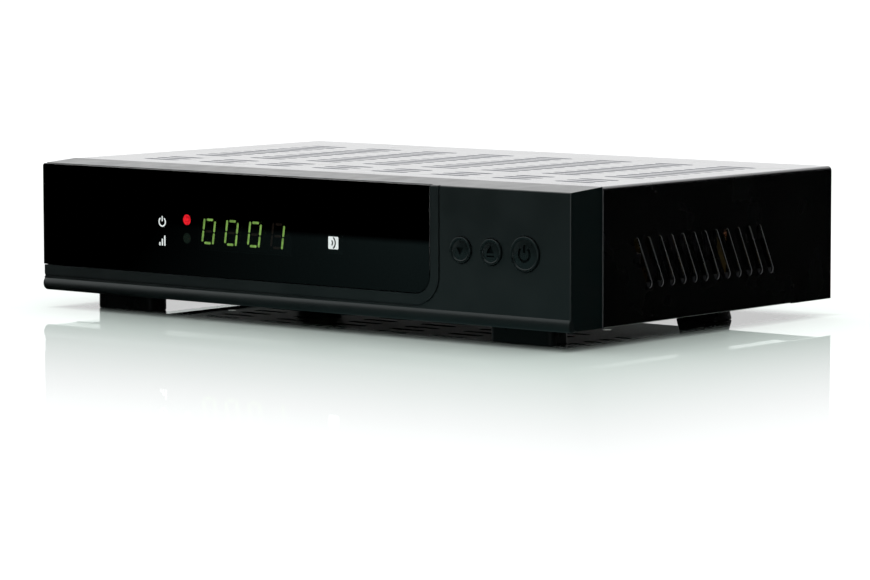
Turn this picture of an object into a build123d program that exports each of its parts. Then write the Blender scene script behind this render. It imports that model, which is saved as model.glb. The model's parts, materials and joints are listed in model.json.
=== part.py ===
"""A set-top satellite receiver: a low steel case with a plastic front, its boards, sockets and buttons.

Millimetres, +Z up. The front faces -Y and +X is to the right seen from the front. The origin is on the
surface that the receiver stands on, under the middle of the whole object.
"""

from build123d import *
from math import cos, radians, sin
import os

os.makedirs("parts", exist_ok=True)

# Driving sizes of the case
case_width = 230.0
case_depth = 142.4
cover_height = 44.5
foot_height = 6.3
bezel_depth = 16.0
sheet = 0.8
seat_gap = 0.1
pin_gap = 0.03
screw_gap = 0.15
cut_past = 1.0

# Driving sizes of the front
bezel_inset = 0.2
bezel_wall = 2.0
front_drop = 1.0
front_edge_radius = 0.5
lip_height = 3.6
lip_raise = 0.2
lip_step = 0.4
lens_thickness = 2.0
lens_inset = 56.9
lens_low = 8.7
lens_corner = 6.0
lens_gap = 0.2
band_width = 3.3
groove_width = 0.7
groove_depth = 0.6
button_proud = 0.8
button_gap = 0.25
button_travel = 0.5
small_button_radius = 4.15
power_button_radius = 5.6

# Driving sizes of the vents
top_slot_length = 15.5
top_slot_width = 3.0
top_slot_columns = 8
top_column_pitch = 25.7
top_column_shift = 4.0
top_slot_pitch = 6.2
side_slot_length = 18.2
side_slot_width = 3.0
side_slot_lean = 27.3
side_slot_pitch = 6.08
side_slot_count = 12

# Driving sizes of what lies inside
board = 1.6
standoff_height = 5.0
standoff_radius = 3.0
aerial_reach = 10.6
aerial_radius = 4.7
jack_reach = 8.5
jack_radius = 4.15

# Levels and planes worked out from them
front_y = -(case_depth + aerial_reach - button_proud) / 2
rear_y = front_y + case_depth
seam_y = front_y + bezel_depth
cover_low = foot_height
cover_top = cover_low + cover_height
half_width = case_width / 2
lens_right = half_width - lens_inset
base_low = cover_low + sheet
base_top = base_low + sheet
panel_outer = rear_y - sheet
panel_inner = panel_outer - sheet
base_front = seam_y + lens_gap
board_low = base_top + standoff_height
board_top = board_low + board
bezel_half = half_width - bezel_inset
lip_low = cover_low + lip_raise
lip_top = lip_low + lip_height
front_top = cover_top - front_drop
wall_back = front_y + bezel_wall
lens_back = front_y + lens_thickness
window_back = lens_back + bezel_wall


def deep(distance):
    """The Y of a plane that far behind the front face."""
    return front_y + distance


def ahead(distance):
    """The Y of a plane that far in front of the case's rear edge."""
    return rear_y - distance


def middle(low, high):
    """The middle of a span."""
    return (low + high) / 2


def block(x, y, z, mode=Mode.ADD):
    """A box between two values on each axis, in the part in hand."""
    with Locations((middle(*x), middle(*y), middle(*z))):
        Box(x[1] - x[0], y[1] - y[0], z[1] - z[0], mode=mode)


def upright(x, y, z, radius, height, mode=Mode.ADD):
    """An upright cylinder standing at a point, in the part in hand."""
    with Locations((x, y, z)):
        Cylinder(radius, height, align=(Align.CENTER, Align.CENTER, Align.MIN), mode=mode)


def rod(x, y, z, radius, length, mode=Mode.ADD):
    """A cylinder that runs from a point towards the rear, in the part in hand."""
    with Locations(Plane(origin=(x, y, z), x_dir=(1, 0, 0), z_dir=(0, 1, 0))):
        Cylinder(radius, length, align=(Align.CENTER, Align.CENTER, Align.MIN), mode=mode)


def bore(x, y, z, radius):
    """A round hole along Y between two values, cut a little past both, in the part in hand."""
    rod(x, y[0] - cut_past, z, radius, y[1] - y[0] + 2 * cut_past, mode=Mode.SUBTRACT)


def drill(x, y, z, radius):
    """A round upright hole between two levels, cut a little past both, in the part in hand."""
    upright(x, y, z[0] - cut_past, radius, z[1] - z[0] + 2 * cut_past, mode=Mode.SUBTRACT)


def facing_front(x, y, z):
    """A plane that looks towards the front, with its own Y upwards."""
    return Plane(origin=(x, y, z), x_dir=(1, 0, 0), z_dir=(0, -1, 0))


def facing_rear(x, y, z):
    """A plane that looks towards the rear, with its own Y upwards."""
    return Plane(origin=(x, y, z), x_dir=(-1, 0, 0), z_dir=(0, 1, 0))


def round_turn(start, corner, end, radius):
    """A quarter turn between two points whose tangents meet at a corner, in the line in hand."""
    centre = Vector(*start) + Vector(*end) - Vector(*corner)
    outward = (Vector(*corner) - centre).normalized()
    ThreePointArc(start, centre + outward * radius, end)


def save(builder, name):
    """Labels a finished piece and writes it."""
    builder.part.label = name
    export_step(builder.part, f"parts/{name}.step")


def pan_screw(shank_radius, shank_length, head_radius, head_height):
    """A cross-headed screw, its head above the origin and its shank below."""
    with BuildPart() as screw:
        Cylinder(head_radius, head_height, align=(Align.CENTER, Align.CENTER, Align.MIN))
        fillet(screw.edges().sort_by(Axis.Z)[-1], head_height * 0.45)
        for turn in (0, 90):
            with Locations(Location((0, 0, head_height), (0, 0, turn))):
                Box(head_radius * 1.1, head_radius * 0.24, head_height * 1.1, mode=Mode.SUBTRACT)
        Cylinder(shank_radius, shank_length, align=(Align.CENTER, Align.CENTER, Align.MAX))
    return screw.part


# Front bezel: outside form, a shell open to the rear
lip_radius = lip_height - lip_step
window_right = lens_right + lens_gap
window_low = cover_low + lens_low - lens_gap
band_right = window_right + band_width
band_low = window_low - band_width
band_corner = lens_corner + lens_gap + band_width
button_z = cover_low + 23.5
down_x = half_width - 44.0
up_x = half_width - 31.7
power_x = half_width - 18.1
button_sites = {
    "button_down": (down_x, button_z, small_button_radius),
    "button_up": (up_x, button_z, small_button_radius),
    "button_power": (power_x, button_z, power_button_radius),
}
led_radius = 1.5
led_x = -48.4
power_led_z = cover_low + 27.1
signal_led_z = cover_low + 20.9
display_width = 41.2
display_height = 12.9
display_x = -22.4
display_z = cover_low + 24.05
display_gap = 0.3
receiver_x = 17.3
receiver_z = cover_low + 23.0
receiver_width = 6.0
receiver_height = 7.0
front_board_y = deep(10.9)
front_board_left = -62.0
front_board_right = bezel_half - bezel_wall - 9.8
front_board_gap = 4.3
front_board_low = lip_low + bezel_wall + front_board_gap
front_board_high = front_top - bezel_wall - front_board_gap
post_radius = 2.3
post_screw_radius = 1.0
post_depth = 5.0
post_inset = 3.3
middle_post_x = 30.0
post_sites = [(x, z) for x in (front_board_left + post_inset, middle_post_x, middle(down_x, up_x))
              for z in (front_board_low + post_inset, front_board_high - post_inset)]
boss_radius = 3.0
boss_screw_radius = 1.25
boss_inset = bezel_wall + 4.3
lower_boss_z = cover_low + 10.0
upper_boss_z = front_top - 9.5
boss_sites = [(x, z) for x in (-bezel_half + boss_inset, bezel_half - boss_inset)
              for z in (lower_boss_z, upper_boss_z)]
tongue_length = 4.0
tongue_thickness = 1.2
tongue_outer = half_width - sheet - seat_gap
tongue_inner = tongue_outer - tongue_thickness
tongue_overlap = 2.0
side_tongue_z = (lower_boss_z + 4, upper_boss_z - 4)


def open_corner(right, low, radius):
    """A face open past the left end and the top, with a round lower right corner."""
    left = -half_width - cut_past
    high = cover_top + cut_past
    with BuildSketch() as outline:
        with BuildLine():
            Line((left, high), (left, low))
            Line((left, low), (right - radius, low))
            JernArc(start=(right - radius, low), tangent=(1, 0), radius=radius, arc_size=90)
            Line((right, low + radius), (right, high))
            Line((right, high), (left, high))
        make_face()
    return outline.sketch


with BuildPart() as front_bezel:
    with BuildSketch(Plane.YZ):
        with BuildLine():
            Line((front_y, lip_top), (front_y, front_top))
            Line((front_y, front_top), (seam_y, cover_top))
            Line((seam_y, cover_top), (seam_y, lip_low))
            Line((seam_y, lip_low), (front_y + lip_step + lip_radius, lip_low))
            JernArc(start=(front_y + lip_step, lip_low + lip_radius), tangent=(0, -1),
                    radius=lip_radius, arc_size=90)
            Line((front_y + lip_step, lip_low + lip_radius), (front_y + lip_step, lip_top))
            Line((front_y + lip_step, lip_top), (front_y, lip_top))
        make_face()
    extrude(amount=bezel_half, both=True)
    front_rim = front_bezel.faces().sort_by(Axis.Y)[0].edges().sort_by(Axis.Z)[1:]
    fillet(front_rim, front_edge_radius)
    inner = bezel_half - bezel_wall
    step_x = band_right + groove_width + bezel_wall
    hollow_z = (lip_low + bezel_wall, front_top - bezel_wall)
    block((-inner, step_x), (window_back, seam_y), hollow_z, mode=Mode.SUBTRACT)
    block((step_x, inner), (wall_back, seam_y), hollow_z, mode=Mode.SUBTRACT)
    # The seat of the lens and the groove round its band
    with BuildSketch(Plane.XZ.offset(-front_y)):
        add(open_corner(window_right, window_low, lens_corner + lens_gap))
    extrude(amount=-lens_thickness, mode=Mode.SUBTRACT)
    with BuildSketch(Plane.XZ.offset(-front_y)):
        add(open_corner(band_right + groove_width, band_low - groove_width, band_corner + groove_width))
        add(open_corner(band_right, band_low, band_corner), mode=Mode.SUBTRACT)
    extrude(amount=-groove_depth, mode=Mode.SUBTRACT)
    # Posts for the front board and bosses for the screws from the base
    for sites, radius, end, hole in (
        (post_sites, post_radius, front_board_y, post_screw_radius + pin_gap),
        (boss_sites, boss_radius, base_front, boss_screw_radius + pin_gap),
    ):
        for site_x, site_z in sites:
            root = (wall_back if site_x > step_x else window_back) - bezel_wall / 4
            rod(site_x, root, site_z, radius, end - root)
            rod(site_x, end - post_depth, site_z, hole, post_depth, mode=Mode.SUBTRACT)
    # The tongues that slip under the front edge of the cover
    tongue_top = cover_top - sheet - seat_gap
    tongue_y = (seam_y - tongue_overlap, seam_y + tongue_length)
    tongue_half = inner - 3 * tongue_overlap
    block((-tongue_half, tongue_half), tongue_y, (tongue_top - tongue_thickness, tongue_top))
    for side in ((-tongue_outer, -tongue_inner), (tongue_inner, tongue_outer)):
        block(side, tongue_y, side_tongue_z)
    # Openings for the buttons, the display, the lights and the receiver
    for site_x, site_z, radius in button_sites.values():
        bore(site_x, (front_y, wall_back), site_z, radius + button_gap)
    for led_z in (power_led_z, signal_led_z):
        bore(led_x, (lens_back, window_back), led_z, led_radius + display_gap)
    for centre_x, centre_z, width, height in (
        (display_x, display_z, display_width, display_height),
        (receiver_x, receiver_z, receiver_width, receiver_height),
    ):
        half_hole = width / 2 + display_gap
        half_rise = height / 2 + display_gap
        block((centre_x - half_hole, centre_x + half_hole), (lens_back - cut_past, window_back + cut_past),
              (centre_z - half_rise, centre_z + half_rise), mode=Mode.SUBTRACT)
save(front_bezel, "front_bezel")

# Display lens: a smoked sheet in the bezel's seat, its front edges eased
lens_edge = 0.3
lens_upper_corner = 1.0
with BuildPart() as display_lens:
    with BuildSketch(Plane.XZ.offset(-front_y)):
        with BuildLine():
            Line((-half_width, cover_low + lens_low), (lens_right - lens_corner, cover_low + lens_low))
            JernArc(start=(lens_right - lens_corner, cover_low + lens_low), tangent=(1, 0),
                    radius=lens_corner, arc_size=90)
            Line((lens_right, cover_low + lens_low + lens_corner), (lens_right, front_top))
            Line((lens_right, front_top), (-half_width, front_top))
            Line((-half_width, front_top), (-half_width, cover_low + lens_low))
        make_face()
    extrude(amount=-lens_thickness)
    upper_left = display_lens.edges().filter_by(Axis.Y).group_by(Axis.X)[0].sort_by(Axis.Z)[-1]
    fillet(upper_left, lens_upper_corner)
    fillet(display_lens.faces().sort_by(Axis.Y)[0].edges(), lens_edge)
save(display_lens, "display_lens")

# Buttons: a domed cap in a raised ring, a collar behind the panel and a stem to the switch
collar_width = 1.1
collar_thickness = 0.9
ring_width = 0.8
ring_height = 0.35
dome_height = 0.3
stem_radius = 2.0
plunger_radius = 1.7
plunger_length = 2.6
switch_size = 6.0
switch_height = 3.5
mark_depth = 0.25
ring_edge = 0.2
plunger_sink = 1.9
switch_front = front_board_y - switch_height
plunger_y = switch_front + plunger_sink - plunger_length


def down_mark(radius):
    """A solid triangle that points down."""
    with BuildSketch() as mark:
        with Locations((0, radius * 0.06)):
            Triangle(a=radius * 0.9, b=radius * 0.9, c=radius * 0.9, rotation=180)
    return mark.sketch


def up_mark(radius):
    """A solid triangle that points up."""
    with BuildSketch() as mark:
        with Locations((0, -radius * 0.06)):
            Triangle(a=radius * 0.9, b=radius * 0.9, c=radius * 0.9)
    return mark.sketch


def standby_mark(radius):
    """A broken ring with a stroke through its gap."""
    stroke = radius * 0.12
    with BuildSketch() as mark:
        Circle(radius * 0.42)
        Circle(radius * 0.42 - stroke, mode=Mode.SUBTRACT)
        with Locations((0, radius * 0.42)):
            Rectangle(stroke * 3, radius * 0.4, mode=Mode.SUBTRACT)
        with Locations((0, radius * 0.3)):
            Rectangle(stroke, radius * 0.5)
    return mark.sketch


def button(radius, mark):
    """A button about its own axis, the panel's face at zero and outwards upwards."""
    collar_top = -bezel_wall - seat_gap / 2
    collar_low = collar_top - collar_thickness
    stem_end = front_y - plunger_y
    crown = button_proud - ring_height
    top = crown + dome_height
    dish = radius - ring_width
    shoulder = radius - ring_edge
    collar = radius + collar_width
    with BuildPart() as cap:
        with BuildSketch(Plane.XZ):
            with BuildLine():
                ThreePointArc((0, top), (dish / 2, crown + dome_height * 0.75), (dish, crown))
                Polyline((dish, crown), (dish, button_proud), (shoulder, button_proud),
                         (radius, button_proud - ring_edge), (radius, collar_top), (collar, collar_top),
                         (collar, collar_low), (stem_radius, collar_low), (stem_radius, stem_end),
                         (0, stem_end), (0, top))
            make_face()
        revolve(axis=Axis.Z)
        with BuildSketch(Plane.XY.offset(top)):
            add(mark(radius))
        extrude(amount=-(mark_depth + dome_height), mode=Mode.SUBTRACT)
    return cap.part


marks = {"button_down": down_mark, "button_up": up_mark, "button_power": standby_mark}
for name, (site_x, site_z, radius) in button_sites.items():
    cap_shape = button(radius, marks[name])
    with BuildPart() as cap_piece:
        with Locations(facing_front(site_x, front_y, site_z)):
            add(cap_shape)
    save(cap_piece, name)
    with BuildPart() as plunger:
        rod(site_x, plunger_y, site_z, plunger_radius, plunger_length)
    save(plunger, name.replace("button", "plunger"))

# Tact switches: square bodies on the front board, each bored for its plunger
plunger_gap = 0.05
well_end = switch_front + plunger_sink + button_travel + 2 * plunger_gap
with BuildPart() as tact_switches:
    for site_x, site_z, _ in button_sites.values():
        block((site_x - switch_size / 2, site_x + switch_size / 2), (switch_front, front_board_y),
              (site_z - switch_size / 2, site_z + switch_size / 2))
        rod(site_x, switch_front, site_z, plunger_radius + plunger_gap, well_end - switch_front,
            mode=Mode.SUBTRACT)
save(tact_switches, "tact_switches")

# Front board, with holes for its screws
ribbon_width = 16.0
ribbon_x = 20.0
with BuildPart() as front_board:
    block((front_board_left, front_board_right), (front_board_y, front_board_y + board),
          (front_board_low, front_board_high))
    for post_x, post_z in post_sites:
        bore(post_x, (front_board_y, front_board_y + board), post_z, post_screw_radius + screw_gap)
save(front_board, "front_board")

# Display module: a block on the front board, with the digits' bars on its face
window_gap = 0.5
module_front = lens_back + window_gap
digit_count = 4
digit_pitch = 10.3
digit_width = 7.2
digit_height = 9.1
digit_lean = 8.5
bar_width = 1.15
bar_thickness = 0.15
bar_gap = 0.18
shown_digits = ["abcdef", "abcdef", "abcdef", "bc"]
with BuildPart() as display_module:
    block((display_x - display_width / 2, display_x + display_width / 2), (module_front, front_board_y),
          (display_z - display_height / 2, display_z + display_height / 2))
save(display_module, "display_module")


def bar_outline(length):
    """A bar lying along X with pointed ends."""
    half = length / 2
    side = bar_width / 2
    flat = half - side
    with BuildSketch() as outline:
        with BuildLine():
            Polyline((-half, 0), (-flat, side), (flat, side), (half, 0), (flat, -side), (-flat, -side),
                     close=True)
        make_face()
    return outline.sketch


upright_bar = (digit_height - bar_width) / 2 - bar_gap
level_bar = digit_width - bar_width - 2 * bar_gap
bar_places = {
    "a": (0, 1, 0), "b": (1, 0.5, 90), "c": (1, -0.5, 90), "d": (0, -1, 0),
    "e": (-1, -0.5, 90), "f": (-1, 0.5, 90), "g": (0, 0, 0),
}


def bars(letters_of_digit):
    """The chosen bars of each digit, on the face of the module."""
    half_x = (digit_width - bar_width) / 2
    half_z = (digit_height - bar_width) / 2
    with BuildPart() as lit:
        for digit, letters in enumerate(letters_of_digit):
            centre_x = display_x + (digit - (digit_count - 1) / 2) * digit_pitch
            for letter in letters:
                across, up, turn = bar_places[letter]
                lean_shift = up * half_z * sin(radians(digit_lean))
                bar_turn = turn - digit_lean if turn else 0
                length = upright_bar if turn else level_bar
                bar_x = centre_x + across * half_x + lean_shift
                with BuildSketch(Plane.XZ.offset(-module_front)):
                    with Locations(Location((bar_x, display_z + up * half_z, 0), (0, 0, bar_turn))):
                        add(bar_outline(length))
        extrude(amount=bar_thickness)
    return lit


lit_bars = bars(shown_digits)
save(lit_bars, "display_lit_bars")
unlit_bars = bars(["".join(sorted(set(bar_places) - set(shown))) for shown in shown_digits])
save(unlit_bars, "display_unlit_bars")

# Lights: a round dome on a rim, standing off the board on two legs, in a sleeve
led_rim_radius = 1.9
led_front = lens_back + window_gap
led_length = 4.8
led_rim = 0.8
leg_size = 0.5
leg_spacing = 2.54


def light(led_z):
    """One light, its dome towards the lens."""
    with BuildPart() as led:
        rod(led_x, led_front + led_radius, led_z, led_radius, led_length - led_radius)
        with Locations((led_x, led_front + led_radius, led_z)):
            Sphere(led_radius)
        rod(led_x, led_front + led_length - led_rim, led_z, led_rim_radius, led_rim)
        for side in (-1, 1):
            leg_x = led_x + side * leg_spacing / 2
            block((leg_x - leg_size / 2, leg_x + leg_size / 2), (led_front + led_length, front_board_y),
                  (led_z - leg_size / 2, led_z + leg_size / 2))
    return led


save(light(power_led_z), "power_light")
save(light(signal_led_z), "signal_light")

# Infrared receiver: a small block with a round eye, on the front board
eye_radius = 2.3
eye_y = lens_back + window_gap + eye_radius
with BuildPart() as infrared_receiver:
    block((receiver_x - receiver_width / 2, receiver_x + receiver_width / 2), (eye_y, front_board_y),
          (receiver_z - receiver_height / 2, receiver_z + receiver_height / 2))
    with Locations((receiver_x, eye_y, receiver_z)):
        Sphere(eye_radius)
save(infrared_receiver, "infrared_receiver")

# Base: a slotted tray whose front wall carries the bezel
base_half = half_width - sheet - seat_gap
base_wall_top = front_top - 6.7
base_side_height = 12.0
base_slot_length = 15.0
base_slot_width = 3.2
base_slot_pitch = 8.5
base_slot_rows = 8
base_slot_columns = 8
base_column_pitch = 26.0
base_slots_y = deep(69.0)
ribbon_window = ribbon_width + 6
ribbon_window_height = 8.0
ribbon_z = cover_low + 20.0
ribbon_thickness = 0.9
board_gap = 8.5
power_board_width = 55.0
power_board_depth = 90.0
power_right = half_width - 5.5
power_left = power_right - power_board_width
power_rear = ahead(8.4)
power_front = power_rear - power_board_depth
main_left = 6.0 - half_width
main_right = power_left - board_gap
main_front = deep(30.0)
main_rear = ahead(6.4)
base_screw_radius = 1.45
panel_flange = 9.0
panel_screw_x = half_width - 49.0
panel_screw_sites = [(x, panel_inner - panel_flange / 2) for x in (-panel_screw_x, 0, panel_screw_x)]


def on_main(across, along):
    """A place on the main board, as shares of its width from the left and of its depth from the front."""
    return main_left + across * (main_right - main_left), main_front + along * (main_rear - main_front)


def on_power(across, along):
    """A place on the power board, at distances from its left edge and from its rear edge."""
    return power_left + across, power_rear - along


main_post_shares = [(0.032, 0.04), (0.37, 0.04), (0.968, 0.04), (0.032, 0.51), (0.29, 0.755), (0.968, 0.81)]
main_posts = [on_main(across, along) for across, along in main_post_shares]
power_post_inset = 4.5
power_posts = [on_power(across, along) for across in (23.5, power_board_width - power_post_inset)
               for along in (2 * power_post_inset, power_board_depth - power_post_inset)]

with BuildPart() as base:
    block((-base_half, base_half), (base_front, panel_inner + sheet), (base_low, base_top))
    wall_half = tongue_inner - seat_gap
    block((-wall_half, wall_half), (base_front, base_front + sheet), (base_low, base_wall_top))
    side_y = (seam_y + tongue_length + 1, panel_inner)
    for side in ((-base_half, sheet - base_half), (base_half - sheet, base_half)):
        block(side, side_y, (base_low, base_low + base_side_height))
    low_edges = base.edges().filter_by(Axis.Y).group_by(Axis.Z)[0]
    fillet(low_edges.group_by(Axis.X)[0] + low_edges.group_by(Axis.X)[-1], sheet - seat_gap)
    # Underside slots
    with BuildSketch(Plane.XY.offset(base_top)):
        with Locations((0, base_slots_y)):
            with GridLocations(base_column_pitch, base_slot_pitch, base_slot_columns, base_slot_rows):
                SlotOverall(base_slot_length, base_slot_width)
    extrude(amount=-2 * sheet, mode=Mode.SUBTRACT)
    # Holes for the screws and the window for the ribbon cable
    for post_x, post_y in main_posts + power_posts + panel_screw_sites:
        drill(post_x, post_y, (base_low, base_top), base_screw_radius + screw_gap)
    for boss_x, boss_z in boss_sites:
        bore(boss_x, (base_front, base_front + sheet), boss_z, boss_screw_radius + screw_gap)
    block((ribbon_x - ribbon_window / 2, ribbon_x + ribbon_window / 2),
          (base_front - cut_past, base_front + sheet + cut_past),
          (ribbon_z - ribbon_window_height / 2, ribbon_z + ribbon_window_height / 2), mode=Mode.SUBTRACT)
save(base, "base")

# Front screws: those of the front board, and those of the bezel through the base's front wall
screw_end_gap = 0.6
board_screw = pan_screw(post_screw_radius, post_depth + board - screw_end_gap, 2.0, 1.3)
bezel_screw = pan_screw(boss_screw_radius, post_depth + sheet - screw_end_gap, 2.6, 1.7)
with BuildPart() as front_screws:
    with Locations([facing_rear(x, front_board_y + board, z) for x, z in post_sites]):
        add(board_screw)
    with Locations([facing_rear(x, base_front + sheet, z) for x, z in boss_sites]):
        add(bezel_screw)
save(front_screws, "front_screws")

# Feet: rounded blocks under the front edge and under the base
foot_depth = 9.5
front_foot_x = (half_width - 41.0, half_width - 15.5)
front_foot_y = (seam_y - 6.0, seam_y - 6.0 + foot_depth)
rear_foot_x = (half_width - 38.0, half_width - 21.0)
rear_foot_y = (ahead(36.4), ahead(36.4) + foot_depth)
foot_key = 1.0
foot_corner = 2.5
foot_edge = 0.6


def foot(x, y, top):
    """One foot, with round corners and an eased lower edge."""
    with BuildPart() as pad:
        block(x, y, (0, top))
        fillet(pad.edges().filter_by(Axis.Z), foot_corner)
        fillet(pad.faces().sort_by(Axis.Z)[0].edges(), foot_edge)
    return pad.part


with BuildPart() as front_feet:
    add(foot(front_foot_x, front_foot_y, lip_low))
    block((front_foot_x[0] + foot_corner, front_foot_x[1] - foot_corner),
          (base_front + seat_gap, front_foot_y[1] - foot_edge), (lip_low - foot_key, base_low))
    mirror(about=Plane.YZ)
save(front_feet, "front_feet")

with BuildPart() as rear_feet:
    add(foot(rear_foot_x, rear_foot_y, base_low))
    mirror(about=Plane.YZ)
save(rear_feet, "rear_feet")

# Top cover: a bent sheet with slots in its top and sides, low flanges and a rear lip
bend_radius = 1.6
flange_bend = 1.3
flange_width = 7.0
flange_start = seam_y + 0.6
flange_length = 103.0
flange_join = 0.4
rear_lip_height = 8.0
cover_screw_radius = 1.45
cover_screw_x = half_width - 19.0
cover_screw_z = cover_top - rear_lip_height + 3.6
cover_screw_sites = [(x, cover_screw_z) for x in (-cover_screw_x, 0, cover_screw_x)]
cover_depth = rear_y - seam_y
short_group_y = deep(35.2)
long_group_y = deep(86.0)
side_slots_y = deep(70.5)
side_slots_z = cover_low + 19.25
with BuildPart() as top_cover:
    with BuildSketch(Plane.XZ.offset(-seam_y)) as outside:
        with Locations((0, middle(cover_low, cover_top))):
            Rectangle(case_width, cover_height)
        fillet(outside.vertices().group_by(Axis.Y)[-1], bend_radius)
    extrude(amount=-cover_depth)
    with BuildSketch(Plane.XZ.offset(-seam_y)) as hollow:
        with Locations((0, middle(cover_low, cover_top) - sheet)):
            Rectangle(case_width - 2 * sheet, cover_height)
        fillet(hollow.vertices().group_by(Axis.Y)[-1], bend_radius - sheet)
    extrude(amount=-cover_depth, mode=Mode.SUBTRACT)
    # The low flanges, bent inwards along the front stretch of each side
    bend_x = half_width - flange_bend
    bend_z = cover_low + flange_bend
    join_z = bend_z + flange_join
    wall_in = half_width - sheet
    flange_end = half_width - flange_width
    for side in ((-half_width - cut_past, sheet - wall_in), (wall_in - sheet, half_width + cut_past)):
        block(side, (flange_start, flange_start + flange_length), (cover_low - cut_past, bend_z),
              mode=Mode.SUBTRACT)
    with BuildSketch(Plane.XZ.offset(-flange_start)):
        with BuildLine():
            Line((half_width, join_z), (half_width, bend_z))
            JernArc(start=(half_width, bend_z), tangent=(0, -1), radius=flange_bend, arc_size=-90)
            Polyline((bend_x, cover_low), (flange_end, cover_low), (flange_end, base_low), (bend_x, base_low))
            JernArc(start=(bend_x, base_low), tangent=(1, 0), radius=flange_bend - sheet, arc_size=90)
            Polyline((wall_in, bend_z), (wall_in, join_z), (half_width, join_z))
        make_face()
        mirror(about=Plane.YZ)
    extrude(amount=-flange_length)
    # The rear lip and its screw holes
    block((-half_width + sheet, half_width - sheet), (panel_outer, rear_y),
          (cover_top - rear_lip_height, cover_top - sheet))
    for screw_x, screw_z in cover_screw_sites:
        bore(screw_x, (panel_outer, rear_y), screw_z, cover_screw_radius + screw_gap)
    # The slots of the top, in a short group and a long one
    with BuildSketch(Plane.XY.offset(cover_top)):
        for rows, centre in ((3, short_group_y), (11, long_group_y)):
            with Locations((top_column_shift, centre)):
                with GridLocations(top_column_pitch, top_slot_pitch, top_slot_columns, rows):
                    SlotOverall(top_slot_length, top_slot_width)
    extrude(amount=-2 * sheet, mode=Mode.SUBTRACT)
    # The slanted slots, cut through both sides at once
    with BuildSketch(Plane.YZ.offset(half_width)):
        with Locations((side_slots_y, side_slots_z)):
            with GridLocations(side_slot_pitch, 1, side_slot_count, 1):
                SlotOverall(side_slot_length, side_slot_width, rotation=90 + side_slot_lean)
    extrude(amount=-case_width, mode=Mode.SUBTRACT)
save(top_cover, "top_cover")

cover_screw = pan_screw(cover_screw_radius, 6.0, 2.8, 1.9)
with BuildPart() as cover_screws:
    with Locations([facing_rear(x, rear_y, z) for x, z in cover_screw_sites]):
        add(cover_screw)
save(cover_screws, "cover_screws")

# Places of the sockets, on the rear panel: those of the main board share its width with equal gaps
socket_margin = 1.0
socket_proud = 0.6
panel_gap = 0.2
can_width = 33.0
can_front = ahead(46.4)
can_height = 15.0
aerial_pitch = 16.0
multipole_width = 47.0
multipole_height = 16.6
multipole_front = ahead(23.4)
jack_pitch = 13.0
jack_side = 12.6
jack_front = ahead(17.4)
video_width = 15.0
video_height = 6.2
video_front = ahead(12.9)
socket_widths = (can_width, multipole_width, jack_pitch + jack_side, video_width)
socket_room = main_right - main_left - 2 * socket_margin
socket_gap = (socket_room - sum(socket_widths)) / (len(socket_widths) - 1)


def socket_x(place):
    """The X of the middle of a socket, counted from the left along the main board."""
    before = sum(socket_widths[:place]) + place * socket_gap
    return main_left + socket_margin + before + socket_widths[place] / 2


can_centre, multipole_x, jack_centre, video_x = (socket_x(place) for place in range(len(socket_widths)))
can_x = (can_centre - can_width / 2, can_centre + can_width / 2)
aerial_x = (can_centre - aerial_pitch / 2, can_centre + aerial_pitch / 2)
aerial_z = board_top + can_height / 2
multipole_z = board_top + multipole_height / 2
jack_columns = (jack_centre - jack_pitch / 2, jack_centre + jack_pitch / 2)
jack_rows = (board_top + jack_side / 2, board_top + jack_side / 2 + jack_pitch)
jack_places = [(x, z) for x in jack_columns for z in jack_rows]
video_z = board_top + video_height / 2
inlet_x = power_left + 37.5
inlet_width = 20.0
inlet_height = 13.0
inlet_z = board_top + inlet_height / 2
inlet_flange = 1.5
switch_x = power_left + 11.5
switch_z = cover_low + 19.0
switch_body_width = 12.8
switch_body_height = 19.0
switch_flange = 1.8
switch_flange_edge = 1.0
aerial_shank_radius = 4.3
jack_ring_radius = 5.0

# Rear panel: a sheet with a flange that lies on the base, cut out for the sockets
flange_inset = 2.0
with BuildPart() as rear_panel:
    panel_top = cover_top - sheet - seat_gap
    block((-base_half, base_half), (panel_inner, panel_outer), (base_top, panel_top))
    block((flange_inset - base_half, base_half - flange_inset), (panel_inner - panel_flange, panel_inner),
          (base_top, base_top + sheet))
    upper_corners = rear_panel.edges().filter_by(Axis.Y).group_by(Axis.Z)[-1]
    fillet(upper_corners, bend_radius)
    panel_y = (panel_inner, panel_outer)
    for screw_x, screw_y in panel_screw_sites:
        drill(screw_x, screw_y, (base_top, base_top + sheet), base_screw_radius + pin_gap)
    for screw_x, screw_z in cover_screw_sites:
        bore(screw_x, panel_y, screw_z, cover_screw_radius + pin_gap)
    for hole_x in aerial_x:
        bore(hole_x, panel_y, aerial_z, aerial_shank_radius + panel_gap)
    for hole_x, hole_z in jack_places:
        bore(hole_x, panel_y, hole_z, jack_ring_radius + panel_gap)
    for centre_x, centre_z, width, height in (
        (multipole_x, multipole_z, multipole_width, multipole_height),
        (video_x, video_z, video_width, video_height),
        (inlet_x, inlet_z, inlet_width, inlet_height),
        (switch_x, switch_z, switch_body_width, switch_body_height),
    ):
        half_hole = width / 2 + panel_gap
        half_rise = height / 2 + panel_gap
        block((centre_x - half_hole, centre_x + half_hole), (panel_inner - cut_past, panel_outer + cut_past),
              (centre_z - half_rise, centre_z + half_rise), mode=Mode.SUBTRACT)
save(rear_panel, "rear_panel")

# Main board and power board, each with holes for its screws
with BuildPart() as main_board:
    block((main_left, main_right), (main_front, main_rear), (board_low, board_top))
    for post_x, post_y in main_posts:
        drill(post_x, post_y, (board_low, board_top), base_screw_radius + screw_gap)
save(main_board, "main_board")

with BuildPart() as power_board:
    block((power_left, power_right), (power_front, power_rear), (board_low, board_top))
    for post_x, post_y in power_posts:
        drill(post_x, post_y, (board_low, board_top), base_screw_radius + screw_gap)
save(power_board, "power_board")

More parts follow.
